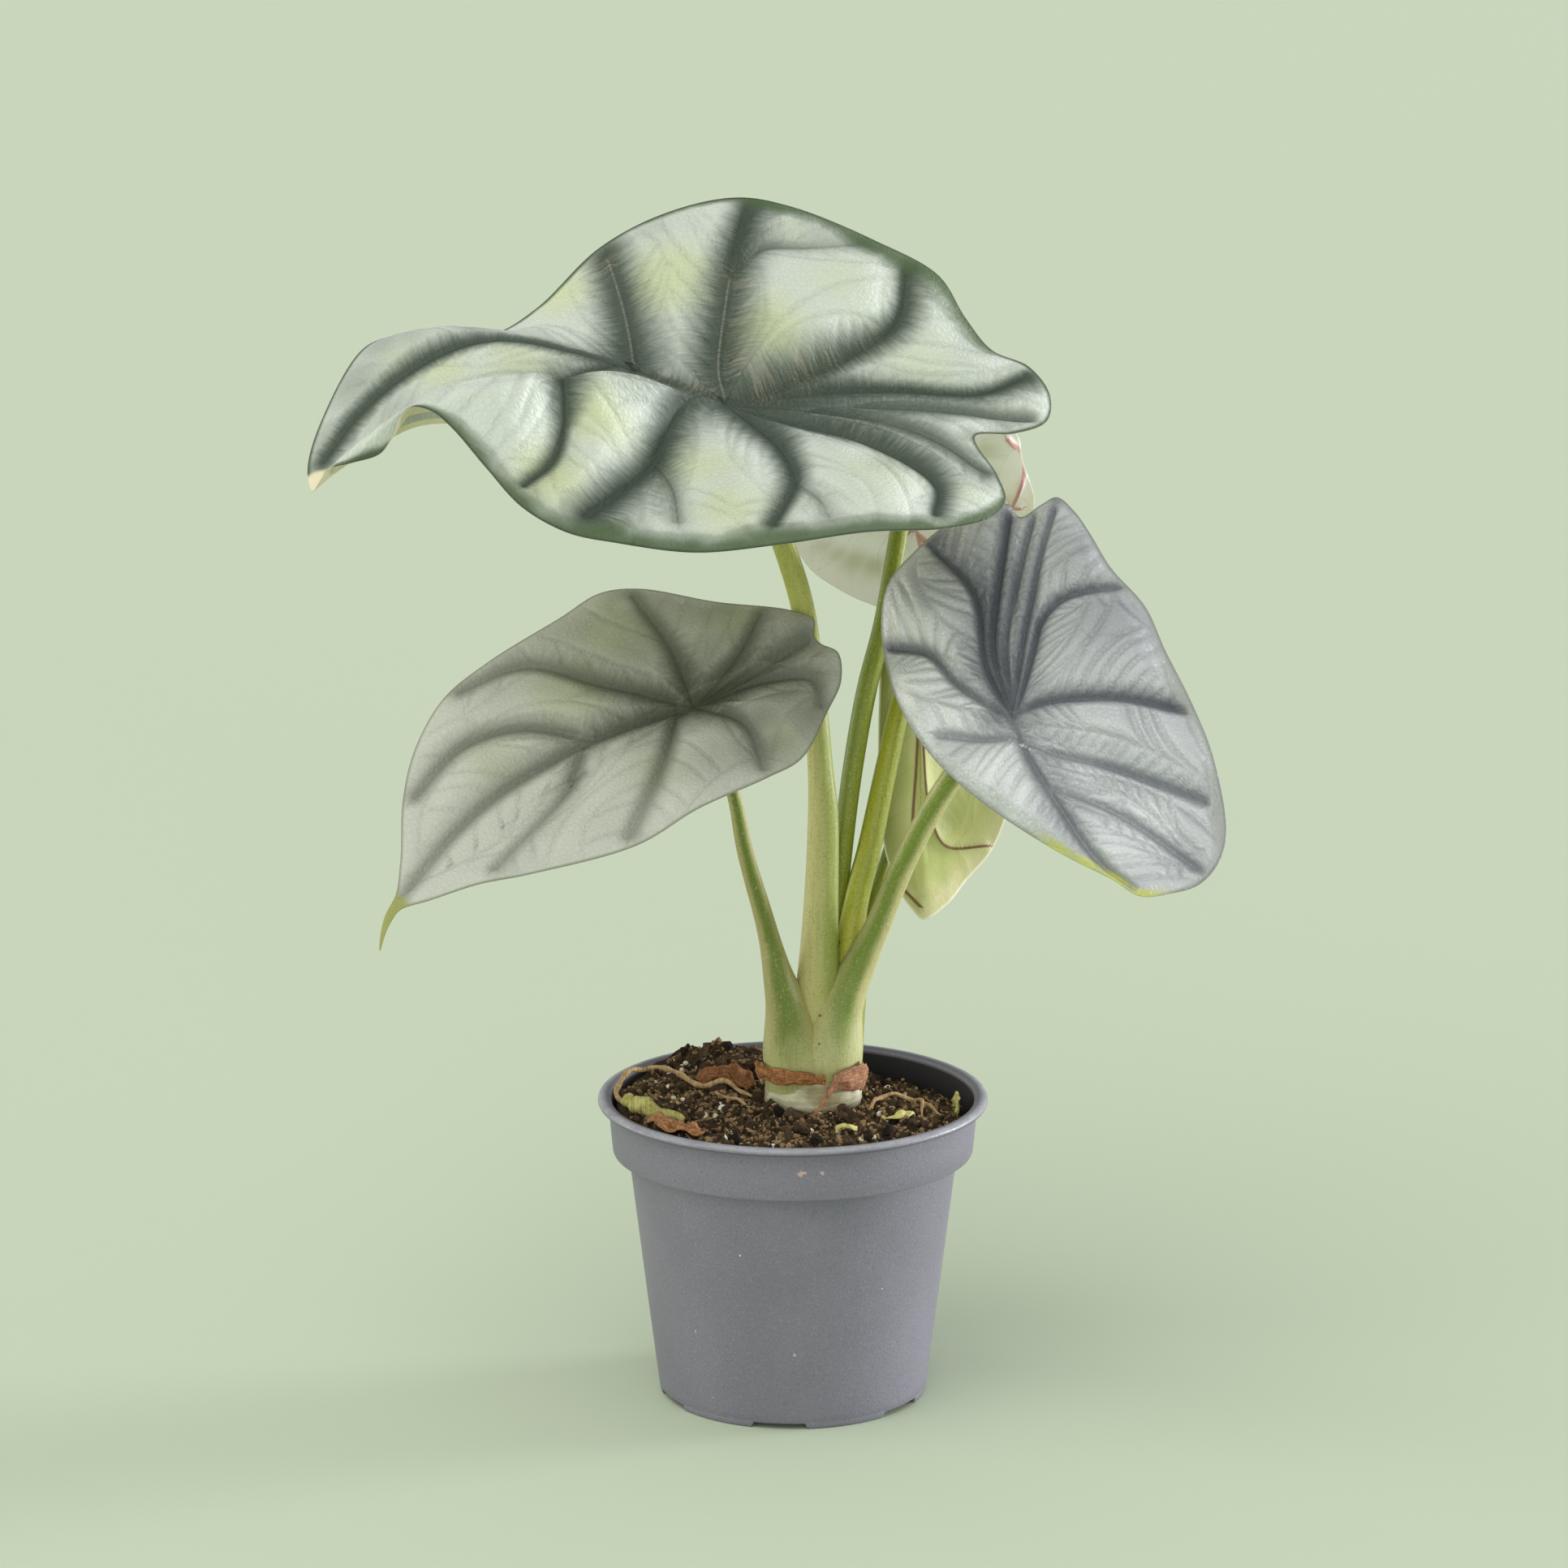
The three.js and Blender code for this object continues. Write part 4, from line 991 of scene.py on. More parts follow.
@dataclass
class LeafBlade:
    """One leaf's blade: a quilted sheet between hub and rim, grooved above and ribbed below.

    Every length is in millimetres. The places in `rim`, `veins`, `hook`, `tip` and the patches are
    on the leaf's plane, and `tail` holds the first and the last mark of the rim's tail.
    """

    name: str
    node: str
    slot: str
    finish: LeafFinish
    hub: Point
    tilt: float
    turn: float
    quilt: float
    cell: float
    rim: tuple[Point, ...]
    veins: tuple[Vein, ...]
    per: int = 16
    rings: int = 104
    under_rings: int = 36
    side_spacing: float = 7.5
    side_step: float = 0.8
    side_sway: float = 0.9
    side_angle: float = 58.0
    side_relief: float = 0.35
    groove: float = 0.7
    ridge: float = 1.5
    rib: float = 0.7
    margins: tuple[float, ...] = (0.8,)
    seed: int = 1
    droop_start: float = 0.8
    fade_start: float = 0.82
    thickness: float = 0.8
    shade: tuple[float, float, float] = (0.0, 0.0, 0.0)
    tip: tuple[float, float, float] = (0.0, 0.0, 0.0)
    tints: tuple[Point, ...] = ()
    # patches of dry hairs and of painted shade beside the folded ridges
    hairs_and_painted_shade: tuple[Point, ...] = ()
    # patches of darker pigment and of painted shade on the top face
    dark_and_painted_shade: tuple[Point, ...] = ()
    folds: tuple[Point, ...] = ()
    shades: tuple[Point, ...] = ()
    hook: tuple[Point, ...] = ()
    tail: tuple[int, int] = (0, 0)
    outline: np.ndarray = field(init=False, repr=False)
    overshoot: np.ndarray = field(init=False, repr=False)
    main: list[Stroke] = field(init=False, repr=False)
    sides: Web = field(init=False, repr=False)
    rim_web: Web = field(init=False, repr=False)

    # the thick pad at the hub, over which the grooves are shallow
    PAD_WIDE = 5.0
    PAD_THICK = 1.6
    # the widths of a groove's sharp and soft parts, a ridge, and the bulges beside fine veins
    GROOVE_WIDE = 0.9
    GROOVE_SOFT = 2.2
    RIDGE_WIDE = 1.5
    BULGE_WIDE = 1.9
    RELIEF_END = 0.93
    # the sheet's unevenness, and how its rim is turned down and thinned
    UNEVEN = 0.35
    UNEVEN_WIDE = 16
    HEM = 0.5
    HEM_WIDE = 2.6
    THINNED = 0.35
    EDGE = 0.12
    EDGE_TONE = 0.4
    # the back's ribs
    RIB_WIDE = 1.1
    SIDE_RIB = 0.15
    SIDE_RIB_WIDE = 0.8
    SHADE_FADE = 9.0
    # fine veins: how many are left out, their longest walk, its free first steps and its ends
    LEFT_OUT = 0.12
    LONGEST_WALK = 90
    FREE_STEPS = 5
    RIM_REACH = 0.965
    MAIN_GAP = 1.1
    SIDE_GAP = 0.9
    # between the runs of two main veins, so that their streaks differ
    RUN_APART = 57.3

    def __post_init__(self) -> None:
        """Draw the rim and the veins."""
        marks = [
            (*(mark + (0,) * 5)[:5], self.margins[i % len(self.margins)]) for i, mark in enumerate(self.rim)
        ]
        self.outline = spline(marks, self.per, True)
        self.overshoot = self.level_tail()
        self.main = [Stroke(vein) for vein in self.veins]
        self.sides = self.side_veins()
        self.rim_web = Web([np.concatenate([self.outline, self.outline[:1]])])

    def level_tail(self) -> np.ndarray:
        """Carry the rim's heights evenly across the tail, so that no crease runs from it to the hub.

        Returns:
            Each spoke's length as a share of its length without the tail.
        """
        share = np.ones(len(self.outline))
        first, last = (mark * self.per for mark in self.tail)
        if last > first:
            part = self.outline[first : last + 1]
            angle = np.arctan2(part[:, 1], part[:, 0])
            across = ((angle - angle[0]) / (angle[-1] - angle[0]))[:, None]
            part[:, 2:5] = part[0, 2:5] + across * (part[-1, 2:5] - part[0, 2:5])
            radius = np.hypot(part[:, 0], part[:, 1])
            share[first : last + 1] = radius / (radius[0] + across[:, 0] * (radius[-1] - radius[0]))
        return share

    def axes(self) -> np.ndarray:
        """The plane's right, top and outward directions, in rows."""
        tilt, turn = math.radians(self.tilt), math.radians(self.turn)
        right = np.array([math.cos(turn), math.sin(turn), 0])
        back = np.array([-math.sin(turn), math.cos(turn), 0])
        top = math.cos(tilt) * back + math.sin(tilt) * np.array([0, 0, 1])
        return np.stack([right, top, np.cross(right, top)])

    def reach(self, spots: np.ndarray) -> np.ndarray:
        """How far each spot of the plane is from hub to rim, 0 to 1."""
        angle = np.arctan2(self.outline[:, 1], self.outline[:, 0])
        order = np.argsort(angle)
        radius = np.hypot(self.outline[:, 0], self.outline[:, 1])[order]
        rim = np.interp(np.arctan2(spots[:, 1], spots[:, 0]), angle[order], radius, period=2 * math.pi)
        return np.hypot(spots[:, 0], spots[:, 1]) / rim

    def side_veins(self) -> Web:
        """Grow the fine veins that arch away from the main ones."""
        rng = np.random.default_rng(self.seed)
        grown: list[np.ndarray] = []
        taken = np.empty((0, 2))
        for stroke in self.main:
            start = self.side_spacing * rng.uniform(0.5, 1.1)
            while start < stroke.run[-1] - 1.5:
                at = int(start / stroke.STEP_MM)
                start += self.side_spacing * rng.uniform(0.75, 1.3)
                for hand in (1, -1):
                    if rng.uniform() < self.LEFT_OUT:
                        continue
                    path = self.grow(stroke.points[at], stroke.tangent[at], hand, taken, rng)
                    if len(path) > self.FREE_STEPS:
                        grown.append(path)
                        taken = np.concatenate([taken, path[3:]])
        return Web(grown)

    def grow(
        self, origin: np.ndarray, along: np.ndarray, hand: int, taken: np.ndarray, rng: np.random.Generator
    ) -> np.ndarray:
        """Walk one fine vein out from a main vein until it meets a vein or the rim.

        Args:
            origin: Where it leaves the main vein.
            along: The main vein's direction there.
            hand: 1 for its left side, -1 for its right.
            taken: Points that other fine veins pass.
            rng: The seeded source of its wandering.

        Returns:
            The fine vein's points.
        """
        angle = math.radians(self.side_angle * rng.uniform(0.94, 1.06)) * hand
        path = [origin.copy()]
        bend = math.radians(rng.uniform(0.4, 1.5))
        for count in range(self.LONGEST_WALK):
            cos, sin = math.cos(angle), math.sin(angle)
            heading = np.array([along[0] * cos - along[1] * sin, along[0] * sin + along[1] * cos])
            spot = path[-1] + heading * self.side_step
            angle += math.radians(rng.normal() * self.side_sway) - hand * bend
            path.append(spot)
            if self.reach(spot[None])[0] > self.RIM_REACH:
                break
            if count > self.FREE_STEPS:
                if min(np.min(np.hypot(*(stroke.points - spot).T)) for stroke in self.main) < self.MAIN_GAP:
                    break
                if len(taken) and np.min(np.hypot(*(taken - spot).T)) < self.SIDE_GAP:
                    break
        return np.array(path)

    def lift(self, reach: np.ndarray, rim: np.ndarray, gap: np.ndarray) -> np.ndarray:
        """The blade's height above its plane, as the solid has it."""
        lift, bow, droop = rim[:, 2], rim[:, 3], rim[:, 4]
        hang = droop * np.clip((reach - self.droop_start) / (1 - self.droop_start), 0, None) ** 2
        swell = self.quilt * (1 - bell(gap, self.cell)) * (1 - smooth(reach, self.fade_start, 1.0))
        return (lift + droop) * reach + bow * 4 * reach * (1 - reach) - hang + swell

    def veined(self, flat: np.ndarray) -> dict[str, np.ndarray]:
        """The nearest main vein's values at each spot, with the band that is darkest there."""
        best: dict[str, np.ndarray] = {}
        dark = np.full(len(flat), -math.inf)
        for number, stroke in enumerate(self.main):
            here = stroke.near(flat)
            here["run"] = here["run"] + self.RUN_APART * number
            # the last part settles ties between bands that are equally dark
            shade = here["depth"] * (1 - smooth(here["band"], 0.4, 1.7)) - 0.001 * here["band"]
            best = best or here
            closer, darker = here["gap"] < best["gap"], shade > dark
            for key in here:
                better = darker if key in ("band", "depth") else closer
                best[key] = np.where(better, here[key], best[key])
            dark = np.maximum(dark, shade)
        return best

    def patches(self, flat: np.ndarray, spots: Sequence[Point]) -> np.ndarray:
        """Soft round patches, each given by its middle, its radius and perhaps its strength."""
        total = np.zeros(len(flat))
        for x, y, radius, *strength in spots:
            gap = np.hypot(flat[:, 0] - x, flat[:, 1] - y)
            total = np.maximum(total, (strength[0] if strength else 1.0) * bell(gap, radius))
        return total

    def shaded(self, flat: np.ndarray) -> np.ndarray:
        """How far painted shade covers each spot of the back, 0 to 1: a darker side and soft patches where
        shade falls.
        """
        *towards, start = self.shade
        side = smooth(flat @ np.array(towards), start, start + self.SHADE_FADE) if any(towards) else 0.0
        return np.maximum(side, self.patches(flat, self.shades))

    def sheet(self, reaches: np.ndarray) -> tuple[np.ndarray, dict[str, np.ndarray]]:
        """Points and values at rings of the blade.

        Args:
            reaches: Each ring's place from hub to rim.

        Returns:
            The plane's coordinates joined to the heights above it, and the values there, as arrays
            of rings by spokes.
        """
        spokes = len(self.outline)
        rim = np.tile(self.outline, (len(reaches), 1))
        reach = np.repeat(reaches, spokes)
        flat = rim[:, :2] * reach[:, None]
        reach = reach * np.tile(self.overshoot, len(reaches))
        vein = self.veined(flat)
        gap = vein["gap"]
        side_gap = self.sides.gap(flat)
        rim_gap = self.rim_web.gap(flat)
        inner = 1 - smooth(reach, self.RELIEF_END, 1.0)
        height = self.lift(reach, rim, gap)
        pad = 1 - 0.5 * bell(np.hypot(flat[:, 0], flat[:, 1]), self.PAD_WIDE)
        furrow = (bell(gap, self.GROOVE_WIDE) + np.exp(-gap / self.GROOVE_SOFT)) * inner * pad
        height -= self.groove * furrow * (1 - vein["crest"])
        height += self.ridge * bell(gap, self.RIDGE_WIDE) * inner * vein["crest"]
        height += self.side_relief * (1 - bell(side_gap, self.BULGE_WIDE)) * inner * smooth(gap, 0.5, 3.5)
        height += self.UNEVEN * wobble(flat, self.UNEVEN_WIDE, self.seed) * inner
        height -= self.HEM * (1 - smooth(rim_gap, 0.0, self.HEM_WIDE))
        values = vein | {
            "side_gap": side_gap,
            "rim_gap": rim_gap,
            "margin": rim[:, 5],
            "shade": self.shaded(flat),
            "tip": self.tip_share(flat),
            "tint": self.patches(flat, self.tints),
            "hairs_and_painted_shade": self.patches(flat, self.hairs_and_painted_shade),
            "dark_and_painted_shade": self.patches(flat, self.dark_and_painted_shade),
            "fold": self.patches(flat, self.folds),
            "plane": np.stack([flat[:, 0], flat[:, 1], np.zeros(len(flat))], 1),
        }
        shape = (len(reaches), spokes)
        points = np.concatenate([self.hooked(flat), height[:, None]], 1).reshape(*shape, 3)
        return points, {key: value.reshape(*shape, *value.shape[1:]) for key, value in values.items()}

    def tip_share(self, flat: np.ndarray) -> np.ndarray:
        """How far each spot belongs to the leaf's drip tip, 0 to 1."""
        x, y, reach = self.tip
        if not reach:
            return np.zeros(len(flat))
        return 1 - smooth(np.hypot(flat[:, 0] - x, flat[:, 1] - y), reach * 0.8, reach)

    def hooked(self, flat: np.ndarray) -> np.ndarray:
        """The plane's spots, with the tail bent from where it is drawn to where it hangs."""
        if not self.hook:
            return flat
        root, drawn, hangs = (np.array(point) for point in self.hook)
        along = np.clip((flat - root) @ (drawn - root) / np.sum((drawn - root) ** 2), 0, 1)
        return flat + along[:, None] ** 1.5 * (hangs - drawn)

    def placed(self, points: np.ndarray) -> np.ndarray:
        """Points of the plane, in metres in the scene."""
        return (np.array(self.hub) + points @ self.axes()) * MM

    def build(self) -> None:
        """Build the blade as one closed object."""
        top, top_values = self.sheet(np.linspace(0, 1, self.rings + 1)[1:])
        under, values = self.sheet(np.linspace(0, 1, self.under_rings + 1)[1:][::-1])
        rim_gap = values["rim_gap"]
        thick = self.thickness + self.PAD_THICK * bell(np.hypot(under[..., 0], under[..., 1]), self.PAD_WIDE)
        thick = thick - self.THINNED * (1 - smooth(rim_gap, 0.0, 3.0))
        rib = self.rib * bell(values["gap"], self.RIB_WIDE)
        rib += self.SIDE_RIB * bell(values["side_gap"], self.SIDE_RIB_WIDE)
        under[..., 2] -= thick + rib * smooth(rim_gap, 0.5, 2.5)
        edge = (top[-1] + under[0]) / 2
        edge[:, :2] += self.EDGE * (edge[:, :2] / np.linalg.norm(edge[:, :2], axis=1)[:, None])
        points = np.concatenate([top, edge[None], under])
        values = {key: np.concatenate([top_values[key], top_values[key][-1:], values[key]]) for key in values}
        tones = np.repeat((0.0, self.EDGE_TONE, 1.0), (len(top), 1, len(under)))
        values["back"] = np.repeat(tones[:, None], top.shape[1], 1)
        made = skin(self.name, self.placed(points), values)
        made.data.materials.append(self.finish.material())
        settle(made, self.node)


SILVER = LeafFinish(
    "silver_leaf",
    cell=(205, 214, 202),
    tint=(198, 208, 158),
    band=(68, 82, 68),
    line=(48, 62, 50),
    margin=(70, 92, 54),
    back=(230, 224, 192),
    back_tint=(196, 198, 152),
    back_margin=(204, 192, 156),
    rib=(150, 130, 100),
    side_share=0.14,
    tint_share=0.75,
    edge_share=0.7,
)
# the left leaf's finish: its cells a little darker than the top leaf's, partly painted shade from the leaf
# above
SHADED = LeafFinish(
    "shaded_leaf",
    cell=(188, 192, 180),
    tint=(164, 171, 140),
    band=(70, 76, 58),
    line=(52, 58, 42),
    margin=(150, 152, 126),
    back=(186, 186, 150),
    back_tint=(170, 174, 130),
    back_margin=(176, 166, 130),
    rib=(140, 120, 90),
    tip=(148, 152, 84),
    side_share=0.14,
    halo_and_painted_shade=5.0,
    rough=0.56,
)
COOL = LeafFinish(
    "cool_leaf",
    cell=(192, 196, 198),
    tint=(226, 230, 231),
    band=(102, 106, 114),
    line=(76, 80, 90),
    margin=(160, 164, 158),
    back=(206, 210, 136),
    back_tint=(194, 202, 118),
    back_margin=(206, 196, 152),
    rib=(140, 120, 80),
    side_share=0.2,
    halo_and_painted_shade=2.5,
    ripple=1.5,
    tint_share=0.9,
    rough=0.42,
    metal=0.15,
    glints=1.0,
    # painted glints near the hub
    painted_glints=((6.2, -10.6, 0.9), (7.6, -11.2, 0.6), (1.8, -8.8, 0.7), (-1.6, -9.6, 0.5), (9.4, -12.4, 0.45)),
)
CREAM_BACK = LeafFinish(
    "cream_backed_leaf",
    cell=(214, 218, 214),
    tint=(196, 204, 180),
    band=(84, 92, 96),
    line=(62, 70, 72),
    margin=(120, 124, 100),
    back=(253, 252, 252),
    back_tint=(246, 247, 236),
    back_margin=(252, 246, 244),
    rib=(206, 146, 146),
    back_shade=(186, 182, 138),
)
GREEN_BACK = LeafFinish(
    "green_backed_leaf",
    cell=(206, 208, 200),
    tint=(190, 196, 170),
    band=(84, 92, 80),
    line=(66, 74, 60),
    margin=(140, 150, 100),
    back=(204, 207, 146),
    back_tint=(184, 193, 118),
    back_margin=(226, 218, 180),
    rib=(112, 76, 58),
    rib_width=0.62,
    back_shade=(140, 150, 72),
)

TOP_LEAF = LeafBlade(
    name="top_leaf",
    node="blade_top",
    slot="blade_silver",
    finish=SILVER,
    hub=(-20.5, 3, 308.8),
    tilt=36,
    turn=0,
    quilt=3.4,
    cell=8,
    rim=(
        (75, -8, -5, 0), (81, -27, -2, 0), (83, -40, 1, 0), (78, -51, 5, 1), (64, -59, 9, 1),
        (42, -64, 13, 1), (16, -70, 14, 1), (-8, -74, 15, 1), (-31, -72, 17, 1), (-45, -68, 17, 1),
        (-58, -61, 20, 2), (-69, -47, 22, 4), (-79, -35, 26, 7), (-85, -30, 28, 9), (-91, -27, 27, 10),
        (-95, -26, 22, 11, 5), (-98, -26, 13, 12, 12), (-102, -26, 6, 13, 14), (-111, -25, 1, 15, 10),
        (-118, -23, -4, 16, 5), (-123, -23, -13, 16, 3), (-125, -14, -13, 16), (-122, 0, -9, 15),
        (-110, 24, -1, 12), (-101, 31, -2, 10), (-86, 38, -8, 6), (-71, 41, -11, 4), (-58, 50, -9, 2),
        (-39, 66, 1, 0), (-19, 75, 7, -1), (3, 80, 9, -1), (20, 77, 8, 1), (46, 66, 4, 2), (65, 54, 1, 2),
        (73, 42, -5, 2), (81, 33, -10, 2), (92, 26, -10, 1), (98, 17, -12, 1), (97, 5, -12, 1),
        (87, -3, -9, 0),
    ),
    veins=(
        Vein(
            ((0, 0), (-27, 6), (-48, 13), (-70, 17), (-84, 14), (-98, 7), (-112, -4), (-120, -14)),
            (8, 3.2, 4.5), (9, 5.5, 4),
        ),
        Vein(((-33, 7), (-45, 1), (-57, -8), (-68, -13), (-80, -14)), (8, 6, 1.2), (2, 2.5, 3.6)),
        Vein(((-48, -4), (-47, -29), (-50, -41), (-58, -52)), (9, 1.6, 2), (6, 3, 2)),
        Vein(((-8, -1), (-14, -9), (-21, -34), (-27, -44), (-39, -60)), (7.5, 6.7, 11), (4, 5, 5.5)),
        Vein(((-20, -33), (-15, -45), (-13, -60)), (1.5, 1.3, 1.2), (1.5, 1.3, 1.2), (0.8, 0.6, 0.5)),
        Vein(((0, 0), (7, -8), (17, -24), (21, -40), (15, -61)), (14, 4.5, 2), (11, 5, 3)),
        Vein(((21, -40), (28, -49), (31, -57)), (1.3, 1.2, 1), (1.3, 1.2, 1), (0.6, 0.45, 0.3)),
        Vein(((0, 0), (20, -8), (40, -14), (55, -25), (63, -38), (62, -52)), (14, 12, 4), (12, 1.8, 1.6)),
        Vein(((0, 0), (26, 0), (50, -4), (66, -14), (78, -26)), (13, 8, 2), (13, 12, 9), (1, 0.85, 0.7)),
        Vein(((-27, 6), (-29, 28), (-33, 48), (-37, 62)), (13, 7, 5.5), (12, 7.3, 7), crest=58),
        Vein(((0, 0), (-2, 12), (0, 37), (3, 59), (7, 76)), (10.5, 7, 4.5), (13, 7.8, 7.6), crest=51),
        Vein(((2, 50), (11, 60), (26, 61), (41, 64)), (5, 1.3, 1), (3.6, 1.4, 1), (1, 0.45, 0.25)),
        Vein(((0, 0), (14, 6), (36, 20), (52, 35), (55, 54)), (10, 5.3, 2), (13, 4, 6)),
        Vein(((0, 0), (26, 7), (50, 11), (75, 13), (91, 22)), (12, 2.7, 1.6), (13, 6, 5.5)),
        Vein(((0, 0), (50, 4), (92, 4)), (14, 9, 3), (14, 8, 1), (1, 0.8, 0.7)),
    ),
    margins=(
        1, 1, 2, 4, 5.5, 6.5, 7, 7, 7, 6.5, 6, 5, 3.5, 2, *(1,) * 12, 1.5, 1.6, 1.6, 2, 3, 4.5, 7.5, 8.5,
        7, 4, 1.2, 1, 1, 1,
    ),
    under_rings=44,
    side_spacing=6.5,
    tip=(-124, -24, 8),
    tints=(
        (-17, 47, 16), (-50, 52, 12, 0.9), (13, 26, 15), (36, 46, 14, 0.5), (-50, -48, 13),
        (-38, -24, 13, 0.9), (-8, -36, 15, 0.8), (2, -56, 14, 0.8), (-62, 6, 14, 0.7), (-84, 4, 10, 0.8),
        (58, 22, 15, 0.5), (44, -36, 16, 0.5), (-98, 14, 12, 0.4), (72, -42, 10, 0.4), (20, 68, 8, 0.4),
    ),
    dark_and_painted_shade=(
        (0, 0, 9, 0.95), (-12, 3, 6, 0.9), (-28, 6, 5, 0.8), (16, -2, 9, 0.9), (34, -6, 9, 0.85),
        (50, -12, 8, 0.7), (34, -14, 8, 0.7), (-27, -53, 8, 0.45), (-112, 10, 12, 0.5), (-118, -8, 11, 0.5),
        (-92, -18, 9, 0.4), (-100, -6, 10, 0.35), (-104, 22, 10, 0.45), (76, 34, 9, 0.35), (-24, 68, 9, 0.25),
        (70, -20, 9, 0.4), (-76, 28, 8, 0.4), (-96, 22, 8, 0.35), (10, 8, 7, 0.6), (62, 52, 7, 0.4),
        (-58, -59, 6, 0.5), (-47, -67, 6, 0.7), (-36, -71, 6, 0.75), (-24, -73, 5, 0.7), (-10, -74, 5, 0.6),
        (6, -72, 5, 0.5), (74, -9, 5, 0.55), (72, -18, 6, 0.5), (70, -28, 7, 0.4), (64, 0, 7, 0.5),
        (84, -2, 6, 0.4), (48, -30, 7, 0.35), (28, 72, 7, 0.4), (44, 65, 6, 0.45), (20, -67, 5, 0.4),
    ),
    # dry hairs near the hub, and painted shade beside the folded ridges
    hairs_and_painted_shade=(
        (6, 14, 7), (11, 7, 6), (22, 13, 6), (31, 19, 5, 0.8), (-8, 5, 6), (-18, 6, 5, 0.7), (1, 50, 4),
        (4, 44, 4, 0.8), (-36, 58, 4), (4, 30, 5, 0.7), (44, 26, 4, 0.5), (40, -8, 6, 0.4), (56, -14, 6, 0.4),
    ),
    seed=11,
)
LEFT_LEAF = LeafBlade(
    name="left_leaf",
    node="blade_left",
    slot="blade_shaded",
    finish=SHADED,
    hub=(-29.7, -20, 221.1),
    tilt=45,
    turn=0,
    quilt=2.2,
    cell=7,
    rim=(
        (36, 22, 5, 0), (36, 26, 8, 0), (29, 30, 7, 0), (6, 39, -2, 2), (-17, 45, -4, 3), (-29, 42, -2, 3),
        (-41, 33, -2, 3), (-62, 16, 0, 3), (-75, 3, 0, 3), (-83, -14, -1, 4), (-86, -33, 0, 4),
        (-86, -54, 0, 4), (-87.6, -67.4, 0.5, 3), (-91.8, -71.8, 0.5, 2), (-97.1, -78, 1, 2),
        (-89.9, -74.1, 1, 2), (-84.6, -71.2, 2.5, 3), (-77, -70.4, 5.5, 3), (-62, -68, 11, 3),
        (-48, -66, 13, 3), (-16, -59, 18, 2), (2, -47, 19, 1), (22, -34, 15, 1), (32, -25, 11, 1),
        (40, -5, 6, 1), (44, 7, 4, 0), (43, 17, 4, 0), (38, 20, 4, 0),
    ),
    veins=(
        Vein(
            ((0, 0), (-25, -12), (-52, -29), (-70, -46), (-85, -67)),
            (3.2, 2, 2), (8, 5, 4), (0.9, 0.5, 0.2),
        ),
        Vein(((0, 0), (15, -9), (21, -30)), (8, 4, 5), (5, 5, 3.5), (0.9, 0.6, 0.35)),
        Vein(((-5, -3), (-9, -26), (-18, -55)), (2.6, 4, 4), (5, 3, 2.5), (0.8, 0.4, 0.22)),
        Vein(((-32, -16), (-39, -37), (-57, -62)), (2, 5, 6), (4, 3, 2), (0.5, 0.25, 0.18)),
        Vein(((0, 0), (-7, 20), (-19, 41)), (10, 6, 6), (10, 5.5, 5), (0.9, 0.62, 0.4)),
        Vein(((0, 0), (-28, 6), (-50, 13), (-70, 5)), (10, 3, 4), (6, 8, 6), (0.9, 0.6, 0.36)),
        Vein(((-30, -14), (-52, -10), (-68, -15), (-82, -32)), (5, 2.6, 2), (4, 3.5, 5), (0.6, 0.5, 0.32)),
        Vein(((0, 0), (13, 16), (20, 31)), (9, 4, 3), (11, 10, 8), (0.9, 0.8, 0.55)),
        Vein(((0, 0), (11, 6), (34, 21)), (6, 7, 8), (6, 5, 5), (1, 0.75, 0.55)),
        Vein(((0, 0), (21, 8), (35, 8), (38, -3)), (8, 9, 6), (8, 4, 4), (1, 0.75, 0.4)),
    ),
    per=20,
    rings=96,
    under_rings=44,
    side_spacing=10,
    side_relief=0.2,
    tip=(-97, -78, 18),
    hook=((-86.2, -69.2), (-97.1, -78), (-91, -84)),
    tail=(12, 16),
    # painted shade where the top leaf hangs over this leaf, with the hub's darker pigment
    dark_and_painted_shade=(
        (0, 0, 13, 0.95), (4, 14, 14, 0.5), (18, 16, 14, 0.58), (30, 16, 12, 0.5), (28, 2, 13, 0.55),
        (-10, 34, 14, 0.35), (14, -8, 11, 0.55), (-16, 12, 14, 0.4), (-40, 24, 14, 0.3), (-14, -8, 11, 0.55),
        (0, 36, 16, 0.38), (-60, 8, 12, 0.25), (20, -22, 13, 0.55), (36, -8, 12, 0.62), (6, -28, 13, 0.35),
        (-4, -2, 9, 1.0), (20, -8, 10, 0.6),
    ),
    tints=(
        (-36, 2, 14), (-10, -30, 12, 0.7), (-24, 26, 14), (12, 32, 10), (-58, -22, 12, 0.7),
        (28, -18, 10, 0.7),
    ),
    seed=12,
)
